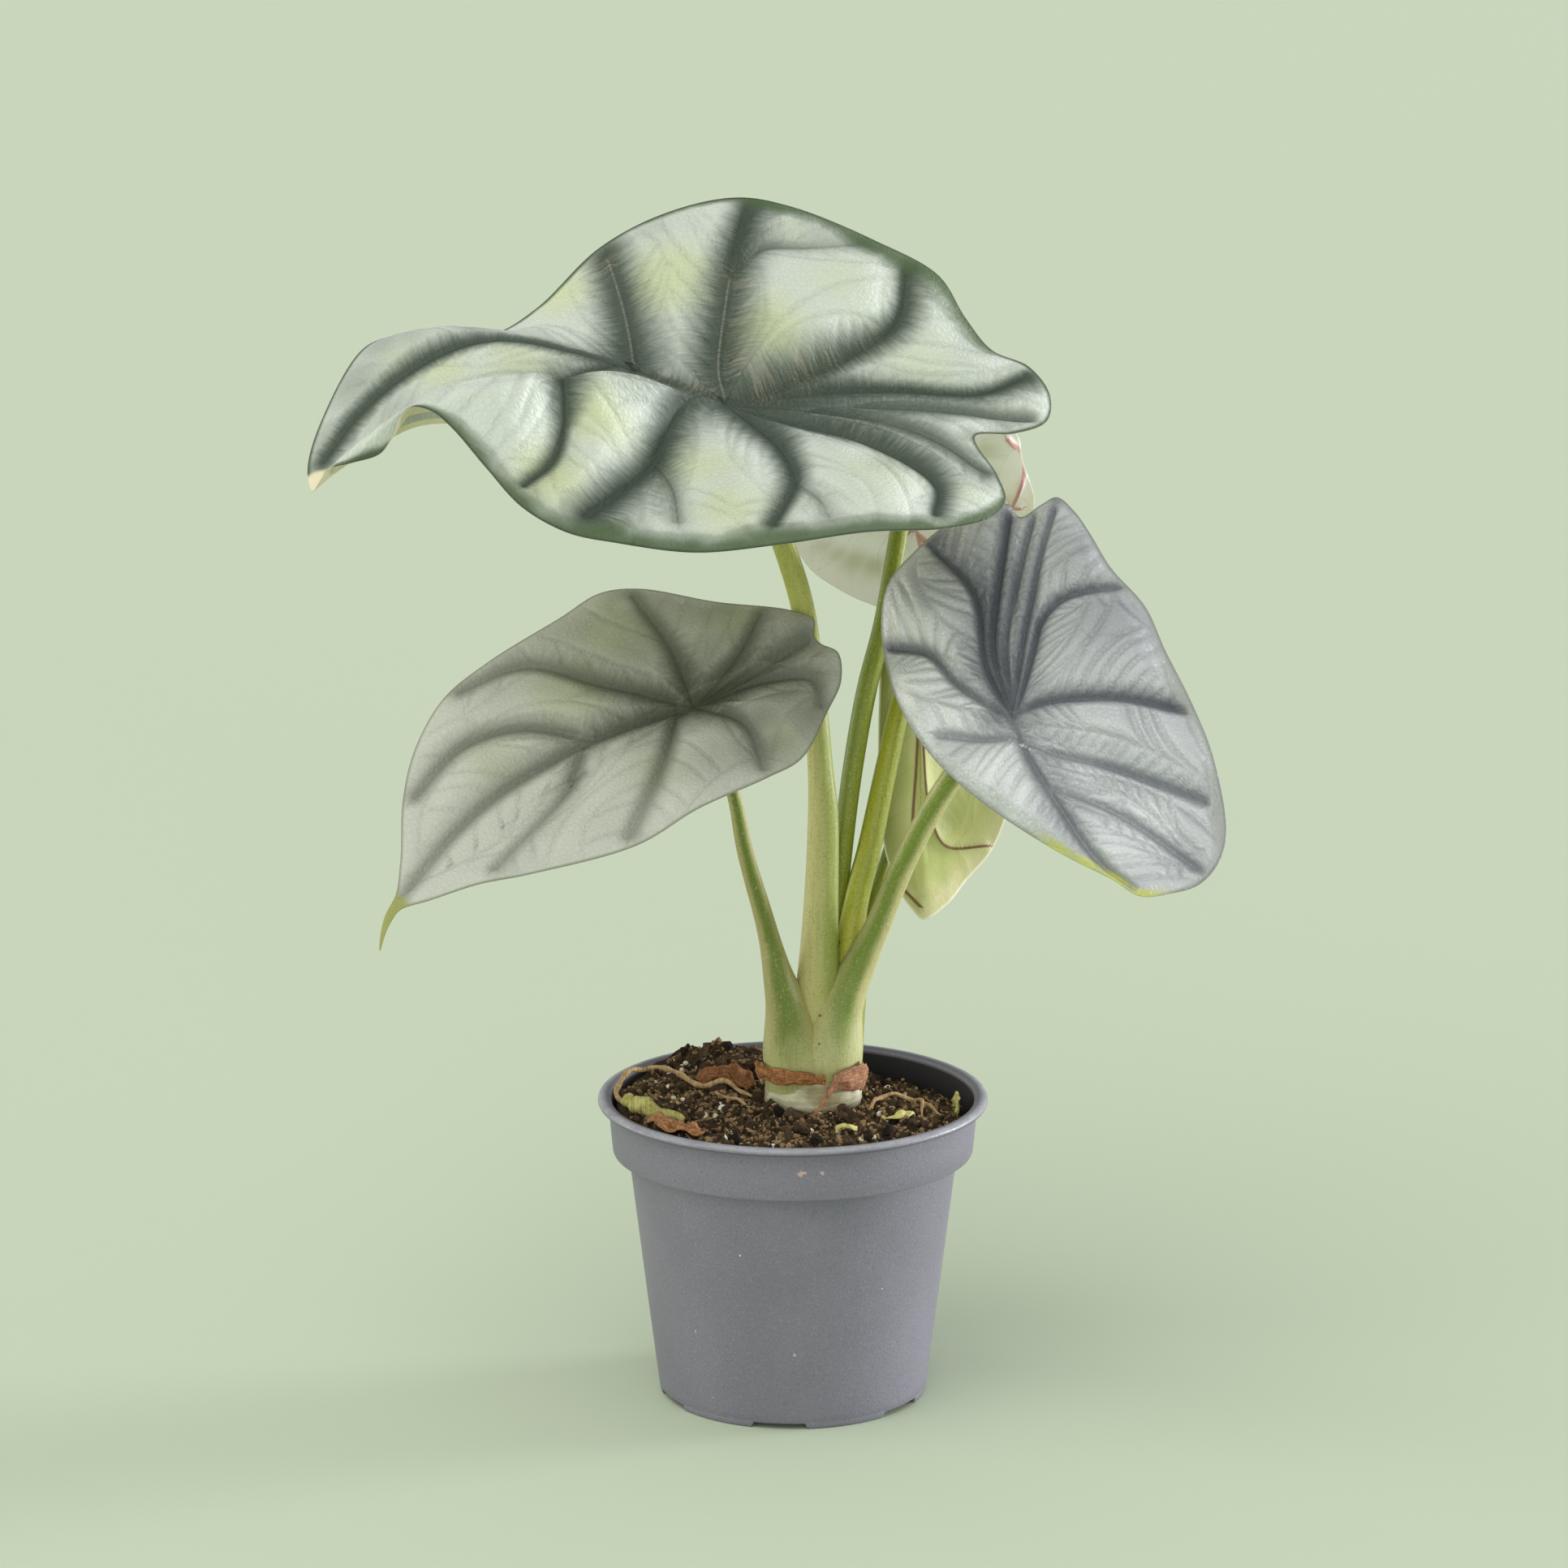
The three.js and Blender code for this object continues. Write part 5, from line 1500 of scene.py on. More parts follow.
RIGHT_LEAF = LeafBlade(
    name="right_leaf",
    node="blade_right",
    slot="blade_cool",
    finish=COOL,
    hub=(64.7, -28, 220.4),
    tilt=52,
    turn=-20,
    quilt=2.6,
    cell=7,
    rim=(
        (-12, 68, -4, 0), (-6, 72, -3, 0), (-1, 74, -1, 0), (6, 69, 0, 0), (13, 61, 1, 0), (21, 51, 0, 1),
        (34, 39, 0, 2), (43, 25, 0, 2), (54, 9, -3, 2), (63, -7, -5, 2), (70, -29, -9, 1), (69, -39, -9, 1),
        (65, -46, -8, 1), (59, -51, -4, 2), (51, -55, 1, 4), (42, -51, 2, 4), (24, -44, 3, 4),
        (-5, -28, 1, 2), (-25, -12, -2, 1), (-39, 6, -3, 1), (-47, 26, -2, 1), (-47, 40, 1, 1),
        (-42, 51, 0, 0), (-33, 62, 0, 0), (-22, 70, -1, 0), (-16, 71, -2, 0),
    ),
    # where a band reaches further on one side than the other, that extra reach is painted shade beside the
    # ridge
    veins=(
        Vein(
            ((0, 0), (8, -13), (22, -30), (36, -45), (49, -53)),
            (3, 4.5, 2.2), (1.2, 3.4, 3), (0.5, 0.42, 0.34),
        ),
        Vein(((0, 0), (-11, 15), (-20, 39), (-37, 54)), (2, 1.5, 0.7), (8, 9, 7), (0.8, 0.9, 0.9)),
        Vein(((-4, 1), (-19, 9), (-30, 18), (-43, 20)), (2.0, 1, 1.2), (5, 2, 2.5), (0.5, 0.55, 0.8)),
        Vein(((5, -8), (-5, -9), (-21, -8)), (1.5, 1, 1), (2.5, 1.6, 2), (0.35, 0.3, 0.25)),
        Vein(((0, 0), (-10, 21), (-14, 57), (-15, 67)), (7, 4, 2), (9, 3, 2), (0.75, 1, 0.9)),
        Vein(((0, 0), (-1, 16), (-2, 55), (-1, 70)), (5, 3, 3), (4, 3, 2), (0.75, 0.75, 0.5)),
        Vein(((0, 2), (-6, 20), (-8, 40), (-8, 68)), (2, 1.5, 1.5), (2, 1.5, 1.5), (0.7, 0.65, 0.5)),
        Vein(
            ((1.5, 2), (2.5, 20), (3.5, 33), (9, 40), (27, 45)),
            (1.6, 2, 3.5), (1.6, 3, 0.7), (0.8, 0.9, 0.65),
        ),
        Vein(((0, 0), (11, 5), (30, 8), (52, 7)), (3, 3, 3.2), (4, 1.1, 1), (0.7, 0.75, 0.95)),
        Vein(((6, -10), (28, -12), (62, -20)), (1, 1.2, 3), (1, 1.2, 0.6), (0.2, 0.45, 0.6)),
        Vein(((17, -25), (36, -27), (66, -42)), (1, 1.6, 3), (1, 1.6, 1), (0.2, 0.3, 0.35)),
    ),
    per=20,
    rings=96,
    under_rings=44,
    margins=(1, 1, 1, 1, 1, 1.5, 2, 3, 3.5, 4, 3.5, 2.5, 1.5, *(1,) * 13),
    side_spacing=4.0,
    side_angle=64,
    side_sway=0.6,
    side_relief=0.8,
    groove=1.1,
    dark_and_painted_shade=(
        (-9, 46, 11, 0.4), (-14, 28, 8, 0.4), (2, 60, 10, 0.35), (-28, 46, 9, 0.35), (25, 32, 15, 0.5),
        (10, 54, 10, 0.42), (-38, 38, 10, 0.2), (0, 74, 4, 0.9), (6, 71, 3, 0.7), (20, -30, 6, 0.35),
    ),
    folds=((24, -45, 7), (33, -48.5, 7), (42, -52, 7), (52, -55.5, 6)),
    tints=(
        (-30, 8, 13), (-20, -4, 11), (-38, 24, 10), (0, -20, 12), (-12, 2, 8), (24, -14, 10, 0.5),
        (43, -35, 14, 0.95), (12, -32, 12, 0.8), (52, -24, 10, 0.4), (-27, 25, 10, 0.9), (2, -4, 7, 0.6),
    ),
    seed=13,
)
UPPER_BACK_LEAF = LeafBlade(
    name="upper_back_leaf",
    node="blade_back_upper",
    slot="blade_cream_back",
    finish=CREAM_BACK,
    hub=(34.3, 38, 276.9),
    tilt=55,
    turn=180,
    quilt=1.6,
    cell=7,
    rim=(
        (-3, 24, 0, 0), (4, 31, 1, 0), (16, 33, 2, 0), (28, 27, 3, 0), (37, 10, 4, 1), (39, -13, 5, 1),
        (34, -29, 5, 2), (28, -43, 6, 2), (16, -53, 5, 3), (5, -59, 4, 3), (-5, -67, 0, 4), (-15, -75, -8, 5),
        (-22, -62, -2, 4), (-32, -44, 2, 3), (-38, -24, 4, 2), (-40, -9, 4, 1), (-36, 8, 4, 0),
        (-34, 20, 3, 0), (-28, 28, 2, 0), (-19, 31, 1, 0), (-9, 29, 0, 0),
    ),
    veins=(
        Vein(((0, 0), (-6, -30), (-14, -72)), (5, 4, 2), (5, 4, 2)),
        Vein(((0, 0), (18, -14), (31, -26)), (4, 3, 2), (4, 3, 2)),
        Vein(((-3, -18), (1, -26), (4, -31)), (3, 2, 2), (3, 2, 2)),
        Vein(
            ((-31, 20), (-35.5, 12), (-36.6, 4), (-35.2, -4.3), (-33, -12), (-29, -20)),
            (2, 2, 2), (2, 2, 2), (0.3, 0.3, 0.3),
        ),
        Vein(((0, 0), (-22, -10), (-36, -12)), (4, 3, 2), (4, 3, 2)),
        Vein(((-4, -20), (-18, -38), (-28, -46)), (3, 2, 2), (3, 2, 2)),
        Vein(((0, 0), (12, 16), (15, 30)), (4, 3, 2), (4, 3, 2)),
        Vein(((0, 0), (-13, 15), (-18, 28)), (4, 3, 2), (4, 3, 2)),
    ),
    rings=52,
    under_rings=60,
    per=18,
    groove=0.5,
    rib=1.0,
    side_spacing=8,
    side_relief=0.25,
    shades=(
        (25, -33, 4, 0.5), (20, -37, 4, 0.6), (15, -40, 5, 0.75), (9, -42, 5, 0.75), (4, -43, 4, 0.6),
        (-24, 12, 6, 0.7), (-28, -10, 6, 0.5), (-25, 2, 6, 0.4), (17, -22, 4, 0.4),
    ),
    seed=14,
)
LOWER_BACK_LEAF = LeafBlade(
    name="lower_back_leaf",
    node="blade_back_lower",
    slot="blade_green_back",
    finish=GREEN_BACK,
    hub=(39.3, 25, 230.1),
    tilt=98,
    turn=190,
    quilt=1.4,
    cell=6,
    rim=(
        (-2, 12, 0, 0), (2, 20, 3, 0), (8, 14, 6, 0), (11, 1, 8, 0), (12, -14, 8, 0), (13, -34, 7, 0),
        (13, -51, 6, 0), (12, -64, 4, 0), (9, -74, 2, 0), (5, -81, 0, 0), (2, -84, -3, 0), (-6, -80, -1, 1),
        (-13, -73, 2, 1), (-21, -65, 4, 1), (-26, -55, 5, 1), (-30, -40, 6, 1), (-31, -23, 6, 1),
        (-28, -3, 5, 0), (-21, 13, 4, 0), (-12, 19, 2, 0), (-6, 17, 0, 0),
    ),
    veins=(
        Vein(((0, 0), (3, -39), (4, -51), (4.5, -61)), (3, 2, 1.5), (3, 2, 1.5)),
        Vein(((9, -73), (5.5, -77), (3, -80)), (1, 1, 1), (1, 1, 1), (0.4, 0.4, 0.3)),
        Vein(((1, -20), (-1, -51), (-6, -62), (-20, -63)), (2.5, 2, 1.5), (2.5, 2, 1.5)),
        Vein(((0, 0), (-14, -14), (-28, -34)), (3, 2, 2), (3, 2, 2)),
        Vein(((0, 0), (-10, 8), (-16, 16)), (3, 2, 2), (3, 2, 2)),
    ),
    rings=52,
    under_rings=60,
    per=18,
    groove=0.4,
    rib=0.8,
    side_spacing=10,
    side_relief=0.15,
    shade=(1.0, 0.0, 2.0),
    shades=(
        (-6.5, -54, 7, 0.95), (-2, -57, 5, 0.6), (6, -73, 5, 0.7), (3, -79, 5, 0.5), (-14, -58, 7, 0.4),
        (-2, -30, 6, 0.4),
    ),
    seed=15,
)
LEAVES = (TOP_LEAF, LEFT_LEAF, RIGHT_LEAF, UPPER_BACK_LEAF, LOWER_BACK_LEAF)


# ---------------------------------------------------------------- stalks


@dataclass
class Stalk:
    """A leaf stalk: an oval sweep from the foot of the plant to its leaf's hub."""

    name: str
    node: str
    slot: str
    finish: StalkFinish
    stops: tuple[Point, ...]
    leaf: LeafBlade | None = None
    sides: int = 40
    step_mm: float = 2.0
    ridge: float = 0.25
    ridges: int = 9
    sunk_mm: float = 1.2

    def build(self, form: NodeForm) -> None:
        """Sweep the stalk.

        Args:
            form: The strand tree.
        """
        line, _ = evenly(spline(self.stops, 12, False), self.step_mm)
        carrier = strand_carrier(self.name, line[:, :3] * MM, line[:, 3] * MM)
        made = form.run(carrier, self.name, {"Sides": self.sides, "Material": self.finish.material()})
        points = mesh_values(made.data, "position")
        number = mesh_values(made.data, "number")
        centre = np.stack([np.interp(number, np.arange(len(line)), line[:, k] * MM) for k in range(5)], 1)
        offset = points - centre[:, :3]
        offset[:, 1] *= centre[:, 4] / centre[:, 3]
        side = offset[:, 0] / np.maximum(np.linalg.norm(offset, axis=1), 1e-6)
        turn = np.arctan2(offset[:, 1], offset[:, 0])
        ribs = np.sin(turn * self.ridges) * 0.5 + wobble(np.stack([turn * 3, centre[:, 2] * 90], 1), 3.0, 5)
        grow = 1 + self.ridge * MM * ribs / np.maximum(centre[:, 3], 1e-4) * 0.35
        points = centre[:, :3] + offset * grow[:, None]
        if self.leaf:
            points = self.trimmed(points, line)
        made.data.vertices.foreach_set("co", points.astype(np.float32).ravel())
        made.data.update()
        add_values(made.data, "side", side)
        add_values(made.data, "height", points[:, 2])
        settle(made, self.node)

    def trimmed(self, points: np.ndarray, line: np.ndarray) -> np.ndarray:
        """Slide what stands above the leaf's hub back down the stalk, so that it ends in the blade."""
        out = self.leaf.axes()[2]
        along = line[-1, :3] - line[-4, :3]
        along /= np.linalg.norm(along)
        height = (points / MM - np.array(self.leaf.hub)) @ out
        height = height + self.sunk_mm + self.sunk_mm * self.leaf.groove
        slide = np.clip(height, 0, None) / (along @ out)
        return points - slide[:, None] * along * MM


def strand_carrier(name: str, line: np.ndarray, thick: np.ndarray) -> bpy.types.Object:
    """A line of edges that carries its radius and its point numbers, for the strand tree."""
    mesh = bpy.data.meshes.new(name)
    mesh.from_pydata([tuple(p) for p in line], [(i, i + 1) for i in range(len(line) - 1)], [])
    add_values(mesh, "thick", thick)
    add_values(mesh, "number", np.arange(len(line)))
    return add_object(name + "_line", mesh)


FRESH = StalkFinish("beige_green_stalk", (194, 189, 126), (142, 153, 70), (192, 191, 126), crown_from=0.215)
LEFT_GREEN = StalkFinish(
    "left_stalk", (166, 161, 104), (104, 122, 42), (178, 180, 118), 0.122, 0.105,
    middle=0.0, wide=0.8, lean=0.2,
)
RIGHT_GREEN = StalkFinish(
    "right_stalk", (184, 181, 124), (114, 134, 48), (186, 188, 130), 0.122, 0.104,
    middle=0.12, wide=0.75, lean=-0.45,
)
DARK = StalkFinish("dark_stalk", (134, 145, 42), (106, 122, 26), (140, 147, 54), middle=-1.2)
YELLOW = StalkFinish("yellow_stalk", (162, 166, 46), (138, 146, 44), (176, 177, 64), 0.165, 0.13)

STALKS = (
    Stalk(
        "top_leaf_stalk", "stalk_top", "stalk_green", FRESH,
        (
            (6, 2, 94, 8.5, 8.5), (6.5, 2, 111, 7.6, 7.4), (7.7, 0, 132.6, 6.4, 6.2),
            (8.4, -1, 150, 5.4, 5.2), (9.1, 0, 183.7, 4.6, 4.4), (8.3, 0, 196.4, 3.9, 3.9),
            (6.3, 1, 221.4, 3.6, 3.6), (2.9, 2, 246.3, 3.5, 3.5), (-3, 2, 266.2, 3.4, 3.4),
            (-11.5, 3, 288.4, 3.2, 3.2), (-22.5, 3, 313.5, 3.2, 3.2),
        ),
        TOP_LEAF,
    ),
    Stalk(
        "lower_back_leaf_stalk", "stalk_back_lower", "stalk_yellow", YELLOW,
        (
            (11, 4, 94, 8, 7), (14, 5, 120, 6.5, 6), (16.8, 5, 136, 4.8, 4.8), (18.1, 5, 146.6, 4.1, 4.1),
            (19.9, 6, 156.7, 3.8, 3.8), (23.1, 8, 169, 3.7, 3.7), (28.3, 13, 193.3, 3.4, 3.4),
            (32.8, 18, 212.3, 3.2, 3.2), (40, 28, 234, 3.2, 3.2),
        ),
        LOWER_BACK_LEAF,
    ),
    Stalk(
        "upper_back_leaf_stalk", "stalk_back_upper", "stalk_dark", DARK,
        (
            (8, 8, 94, 8, 7), (10.5, 9, 125, 5.5, 5), (12.2, 9, 145.6, 4, 4), (14.2, 9, 161, 3.2, 3.2),
            (18.1, 12, 193.5, 3.1, 3.1), (22.5, 17, 217.8, 3.1, 3.1), (27.5, 23, 236.8, 3, 3),
            (31, 30, 255.7, 2.8, 2.8), (35.5, 41, 281, 2.8, 2.8),
        ),
        UPPER_BACK_LEAF,
    ),
    Stalk(
        "dark_young_shoot", "young_shoot", "stalk_dark", DARK,
        (
            (14, 4, 94, 7, 6), (18, 4, 125, 4.6, 4.4), (21.6, 7, 143, 2.8, 2.8), (25.7, 14, 154.6, 2.2, 2.2),
            (28.8, 21, 163.1, 2, 2), (31.3, 26.5, 172.2, 1.5, 1.5), (33.1, 31, 181, 0.5, 0.5),
        ),
    ),
    Stalk(
        "left_leaf_stalk", "stalk_left", "stalk_green", LEFT_GREEN,
        (
            (2.5, 0.5, 99.5, 11.2, 11.8), (0.5, -0.5, 108, 10, 11), (-2, -3, 123.1, 6.6, 8),
            (-4.7, -5, 133.9, 4.6, 5.4), (-6.7, -6, 143.2, 3.4, 3.6), (-8.9, -8, 152.6, 2.9, 3),
            (-14.5, -13, 174.2, 2.5, 2.5), (-17.9, -17, 192.9, 2.1, 2.1), (-22.5, -19, 208.4, 2.2, 2.2),
            (-31, -20.5, 224, 2.4, 2.4),
        ),
        LEFT_LEAF,
    ),
    Stalk(
        "right_leaf_stalk", "stalk_right", "stalk_green", RIGHT_GREEN,
        (
            (9, 1.5, 99.5, 11.2, 11.6), (11.2, 0.5, 108, 10.4, 11), (14.3, 0, 122, 7.4, 8.2),
            (19.3, 0, 133.5, 5.4, 5.6), (25.8, -3, 148.5, 3.9, 3.9), (35.1, -9, 173.2, 3.6, 3.6),
            (47.5, -18, 198.1, 3.5, 3.5), (57.5, -25, 211.5, 3.3, 3.3), (67, -29.5, 223, 3.2, 3.2),
        ),
        RIGHT_LEAF,
    ),
)


# ---------------------------------------------------------------- soil, corm, pot and litter


def soil_top(x: np.ndarray, y: np.ndarray) -> np.ndarray:
    """The soil's height in millimetres: nearly brim full, and lower to the back right."""
    fall = 7 * smooth(0.75 * x + 0.5 * y, 15, 52)
    lumps = np.sin(x * 0.42 + 1.3) * np.cos(y * 0.37) + 0.6 * np.sin(x * 0.17 - y * 0.29)
    return 92 - fall + 1.1 * lumps


class Strewn(Enum):
    """What is mixed into the potting soil: density, size range, lumps, detail and finish."""

    CRUMBS = (
        "soil_crumbs", 330000.0, (0.4, 0.4, 0.3), (1.3, 1.2, 1.0), 1.4, 1,
        ((40, 31, 22), (152, 126, 92)),
    )
    CLODS = ("soil_clods", 17000.0, (1.2, 1.1, 0.9), (2.8, 2.5, 1.9), 2.6, 2, ((26, 21, 15), (80, 64, 46)))
    GRAINS = (
        "tan_grains", 52000.0, (0.3, 0.3, 0.2), (0.9, 0.7, 0.5), 0.8, 1,
        ((150, 120, 84), (206, 180, 138)),
    )
    PERLITE = (
        "perlite", 7000.0, (0.5, 0.5, 0.4), (1.6, 1.3, 1.1), 1.4, 2,
        ((214, 204, 176), (244, 238, 222)),
    )
    FIBRES = (
        "bark_fibres", 9000.0, (0.12, 0.12, 1.4), (0.3, 0.25, 4.6), 0.5, 1,
        ((70, 48, 32), (150, 118, 82)),
    )

    def build(self, form: NodeForm, ground: bpy.types.Mesh, seed: int) -> None:
        """Strew it over a copy of the ground.

        Args:
            form: The crumb tree.
            ground: The surface that it lies on.
            seed: The number that its places, turns, sizes and tones are drawn from.
        """
        name, density, smallest, largest, lumps, detail, (dark, pale) = self.value
        given = {
            "Density": density,
            "Smallest": tuple(v * MM for v in smallest),
            "Largest": tuple(v * MM for v in largest),
            "Lumps": lumps * MM,
            "Detail": detail,
            "Seed": seed,
            "Material": SoilFinish(name + "_finish", dark, pale).material(),
        }
        settle(form.run(add_object(name + "_ground", ground.copy()), name, given))


@dataclass
class SoilBed:
    """The potting soil: a block with a clodded top, and what is strewn on it."""

    radius_mm: float = 54.2
    middle_mm: float = 0.6
    rings: int = 84
    around: int = 288
    strewn_mm: tuple[float, float] = (52.4, 12.0)
    strewn_rings: int = 40
    tone: float = 0.25
    first_seed: int = 31

    # radius and height of each ring, from the middle of the bottom to the top's edge
    WALL = ((38.8, 3.3), (39.2, 8.0), (49.0, 78.5), (53.8, 79.1), (54.2, 84.0))

    def surface(self, radii: np.ndarray) -> np.ndarray:
        """Rings of points on the soil's top, in metres."""
        rows = lathed(radii, np.zeros(len(radii)), self.around)
        flat = rows[..., :2].reshape(-1, 2)
        x, y = flat.T
        rough = 1.0 * wobble(flat, 5.5, 21) + 0.8 * wobble(flat, 2.6, 22) + 0.4 * wobble(flat, 1.3, 23)
        rough *= 1 - smooth(np.hypot(x, y), 52.5, 54.2)
        mound = 5.0 * np.exp(-(((x + 26) / 17) ** 2) - ((y - 40) / 11) ** 2)
        rows[..., 2] = (soil_top(x, y) + rough + mound).reshape(rows.shape[:2])
        return rows * MM

    def build(self, form: NodeForm) -> None:
        """Build the block and everything strewn on it.

        Args:
            form: The crumb tree.
        """
        top = self.surface(np.linspace(self.radius_mm, self.middle_mm, self.rings))
        rows = np.concatenate([lathed(*zip(*self.WALL), self.around) * MM, top])
        block = skin("potting_soil", rows, {"tone": np.full(rows.shape[:2], self.tone)})
        block.data.materials.append(SoilFinish("potting_soil_finish", (42, 33, 22), (104, 84, 60)).material())
        rows = self.surface(np.linspace(*self.strewn_mm, self.strewn_rings))
        ground = new_mesh("ground", rows.reshape(-1, 3), ring_quads(len(rows), self.around), {})
        for seed, kind in enumerate(Strewn, self.first_seed):
            kind.build(form, ground.data, seed)
        bpy.data.objects.remove(ground)
        settle(block, "soil")


@dataclass
class Corm:
    """The pale tuber at soil level, with its main roots hidden in the soil."""

    centre: Point = (6.5, 2)
    radius_mm: float = 15.0
    top_mm: float = 103
    shoulder_mm: float = 91
    bottom_mm: float = 66
    around: int = 96
    roots: int = 5
    root_mm: float = 1.6
    root_sides: int = 10

    def body(self) -> np.ndarray:
        """Rings of points on the tuber's skin, in metres."""
        shoulder = self.shoulder_mm
        z = shoulder + np.concatenate([
            (self.bottom_mm - shoulder) * np.cos(np.linspace(0.05, math.pi / 2, 50)),
            (self.top_mm - shoulder) * np.sin(np.linspace(0.03, math.pi / 2 - 0.03, 40)),
        ])
        up = ((z - shoulder) / (self.top_mm - shoulder)).clip(0)
        down = ((shoulder - z) / (shoulder - self.bottom_mm)).clip(0)
        belly = self.radius_mm * np.where(z > shoulder, (1 - up**4) ** 0.36, (1 - down**2.4) ** 0.5)
        rows = lathed(belly, z, self.around)
        flat = rows.reshape(-1, 3)
        grow = 1 + 0.018 * wobble(flat, 7, 41) + 0.008 * wobble(flat, 2.5, 42)
        grow = grow.reshape(rows.shape[:2]) - 0.018 * bell(np.sin(rows[..., 2] * 0.9), 0.25)
        rows[..., :2] = np.array(self.centre) + rows[..., :2] * grow[..., None]
        return rows * MM

    def root(self, number: int) -> tuple[np.ndarray, np.ndarray]:
        """One root's line and its thickness along it, in millimetres."""
        angle = 2 * math.pi * (number + 0.3 * math.sin(3 * number)) / self.roots
        reach = 34 + 3 * math.cos(5 * number)
        along = np.linspace(0.2, 1, 14)
        x, y = self.centre
        route = [
            x * (1 - along) + reach * along * math.cos(angle),
            y * (1 - along) + reach * along * math.sin(angle),
            82 - 58 * along**1.6,
        ]
        return np.stack(route, 1), self.root_mm * (1.2 - 0.6 * along)

    def build(self, form: NodeForm) -> None:
        """Build the tuber and its roots.

        Args:
            form: The strand tree.
        """
        rows = self.body()
        body = skin("corm_body", rows, {"height": rows[..., 2]})
        finish = CormFinish().material()
        body.data.materials.append(finish)
        settle(body, "corm")
        for number in range(self.roots):
            name = f"corm_root_{number + 1}"
            line, thick = self.root(number)
            carrier = strand_carrier(name, line * MM, thick * MM)
            made = form.run(carrier, name, {"Sides": self.root_sides, "Material": finish})
            add_values(made.data, "height", mesh_values(made.data, "position")[:, 2])
            settle(made)


@dataclass
class Dry:
    """One dry piece, which follows stops that are heights above the soil if it lies on it."""

    name: str
    node: str | None
    slot: str
    finish: DryFinish
    stops: tuple[Point, ...]
    seed: int = 1
    on_soil: bool = True

    def line(self, per: int, step_mm: float) -> tuple[np.ndarray, np.ndarray]:
        """The piece's middle line in even steps, and the run along it."""
        line, run = evenly(spline(self.stops, per, False), step_mm)
        if self.on_soil:
            line[:, 2] += soil_top(line[:, 0], line[:, 1])
        return line, run


@dataclass
class Root(Dry):
    """A dead root, or a twig like one: a thin wandering strand."""

    shake: float = 0.35
    step_mm: float = 0.7
    sides: int = 12

    # how far the streaks' own coordinate runs, across a metre
    SIDE_SPAN = 300

    def build(self, form: NodeForm) -> None:
        """Build the strand.

        Args:
            form: The strand tree.
        """
        line, run = self.line(10, self.step_mm)
        spots = np.stack([run, np.zeros(len(run))], 1)
        for axis in range(3):
            line[:, axis] += self.shake * wobble(spots, 4.5, self.seed + axis)
        thick = line[:, 3] * (1 + 0.22 * wobble(spots, 2.2, self.seed + 7))
        carrier = strand_carrier(self.name, line[:, :3] * MM, thick * MM)
        made = form.run(carrier, self.name, {"Sides": self.sides, "Material": self.finish.material()})
        add_values(made.data, "height", mesh_values(made.data, "number") * self.step_mm * MM)
        add_values(made.data, "side", mesh_values(made.data, "position")[:, 0] * self.SIDE_SPAN)
        settle(made, self.node)


@dataclass
class Scrap(Dry):
    """A dry papery scrap: a thin crumpled strip that curls along its stops."""

    upright: bool = False
    curl: float = 0.35
    crumple: float = 0.5
    thickness: float = 0.35
    across: int = 18

    def build(self) -> None:
        """Build the strip."""
        line, run = self.line(12, 0.6)
        along = np.gradient(line[:, :3], axis=0)
        along /= np.linalg.norm(along, axis=1)[:, None]
        level = np.cross(along, np.array([0.0, 0.0, 1.0]))
        level /= np.linalg.norm(level, axis=1)[:, None]
        rise = np.cross(level, along)
        wide, thin, half = (rise, level, line[:, 4]) if self.upright else (level, rise, line[:, 3])
        place = np.linspace(-1, 1, self.across)
        grid = np.stack(np.meshgrid(run, place * 4, indexing="ij"), -1).reshape(-1, 2)
        ragged = 1 + 0.16 * wobble(np.stack([run, run * 0], 1), 2.4, self.seed)
        lumps = wobble(grid, 2.6, self.seed + 3).reshape(len(run), self.across)
        bend = self.curl * half[:, None] * (1 - place**2) + self.crumple * lumps
        out = wide[:, None] * (place * (half * ragged)[:, None])[..., None]
        middle = line[:, None, :3] + out + thin[:, None] * bend[..., None]
        thick = self.thickness / 2 * (1.05 - place**4)[None, :, None] * thin[:, None]
        ring = np.concatenate([middle + thick, (middle - thick)[:, ::-1]], 1) * MM
        side = np.tile(np.concatenate([place, place[::-1]]), (len(run), 1))
        height = np.repeat(run[:, None] * MM, 2 * self.across, 1)
        made = skin(self.name, ring, {"side": side, "height": height})
        made.data.materials.append(self.finish.material())
        settle(made, self.node)


TAN = DryFinish("dry_tan_root", (206, 180, 134), (158, 126, 86))
BROWN_SHEATH = DryFinish("dry_brown_sheath", (186, 134, 84), (112, 70, 38))
PINK_SHEATH = DryFinish("dry_pink_sheath", (200, 156, 122), (134, 86, 60))
BARK = DryFinish("dry_bark", (162, 110, 70), (84, 54, 34))
BROWN_LEAF = DryFinish("dry_brown_leaf", (190, 140, 96), (112, 74, 46))
OLIVE_STUB = DryFinish("dry_olive_stub", (198, 196, 122), (140, 134, 74), 600.0, 0.1)
YELLOW_SCRAP = DryFinish("dry_yellow_scrap", (226, 222, 150), (178, 168, 94), 700.0, 0.2)

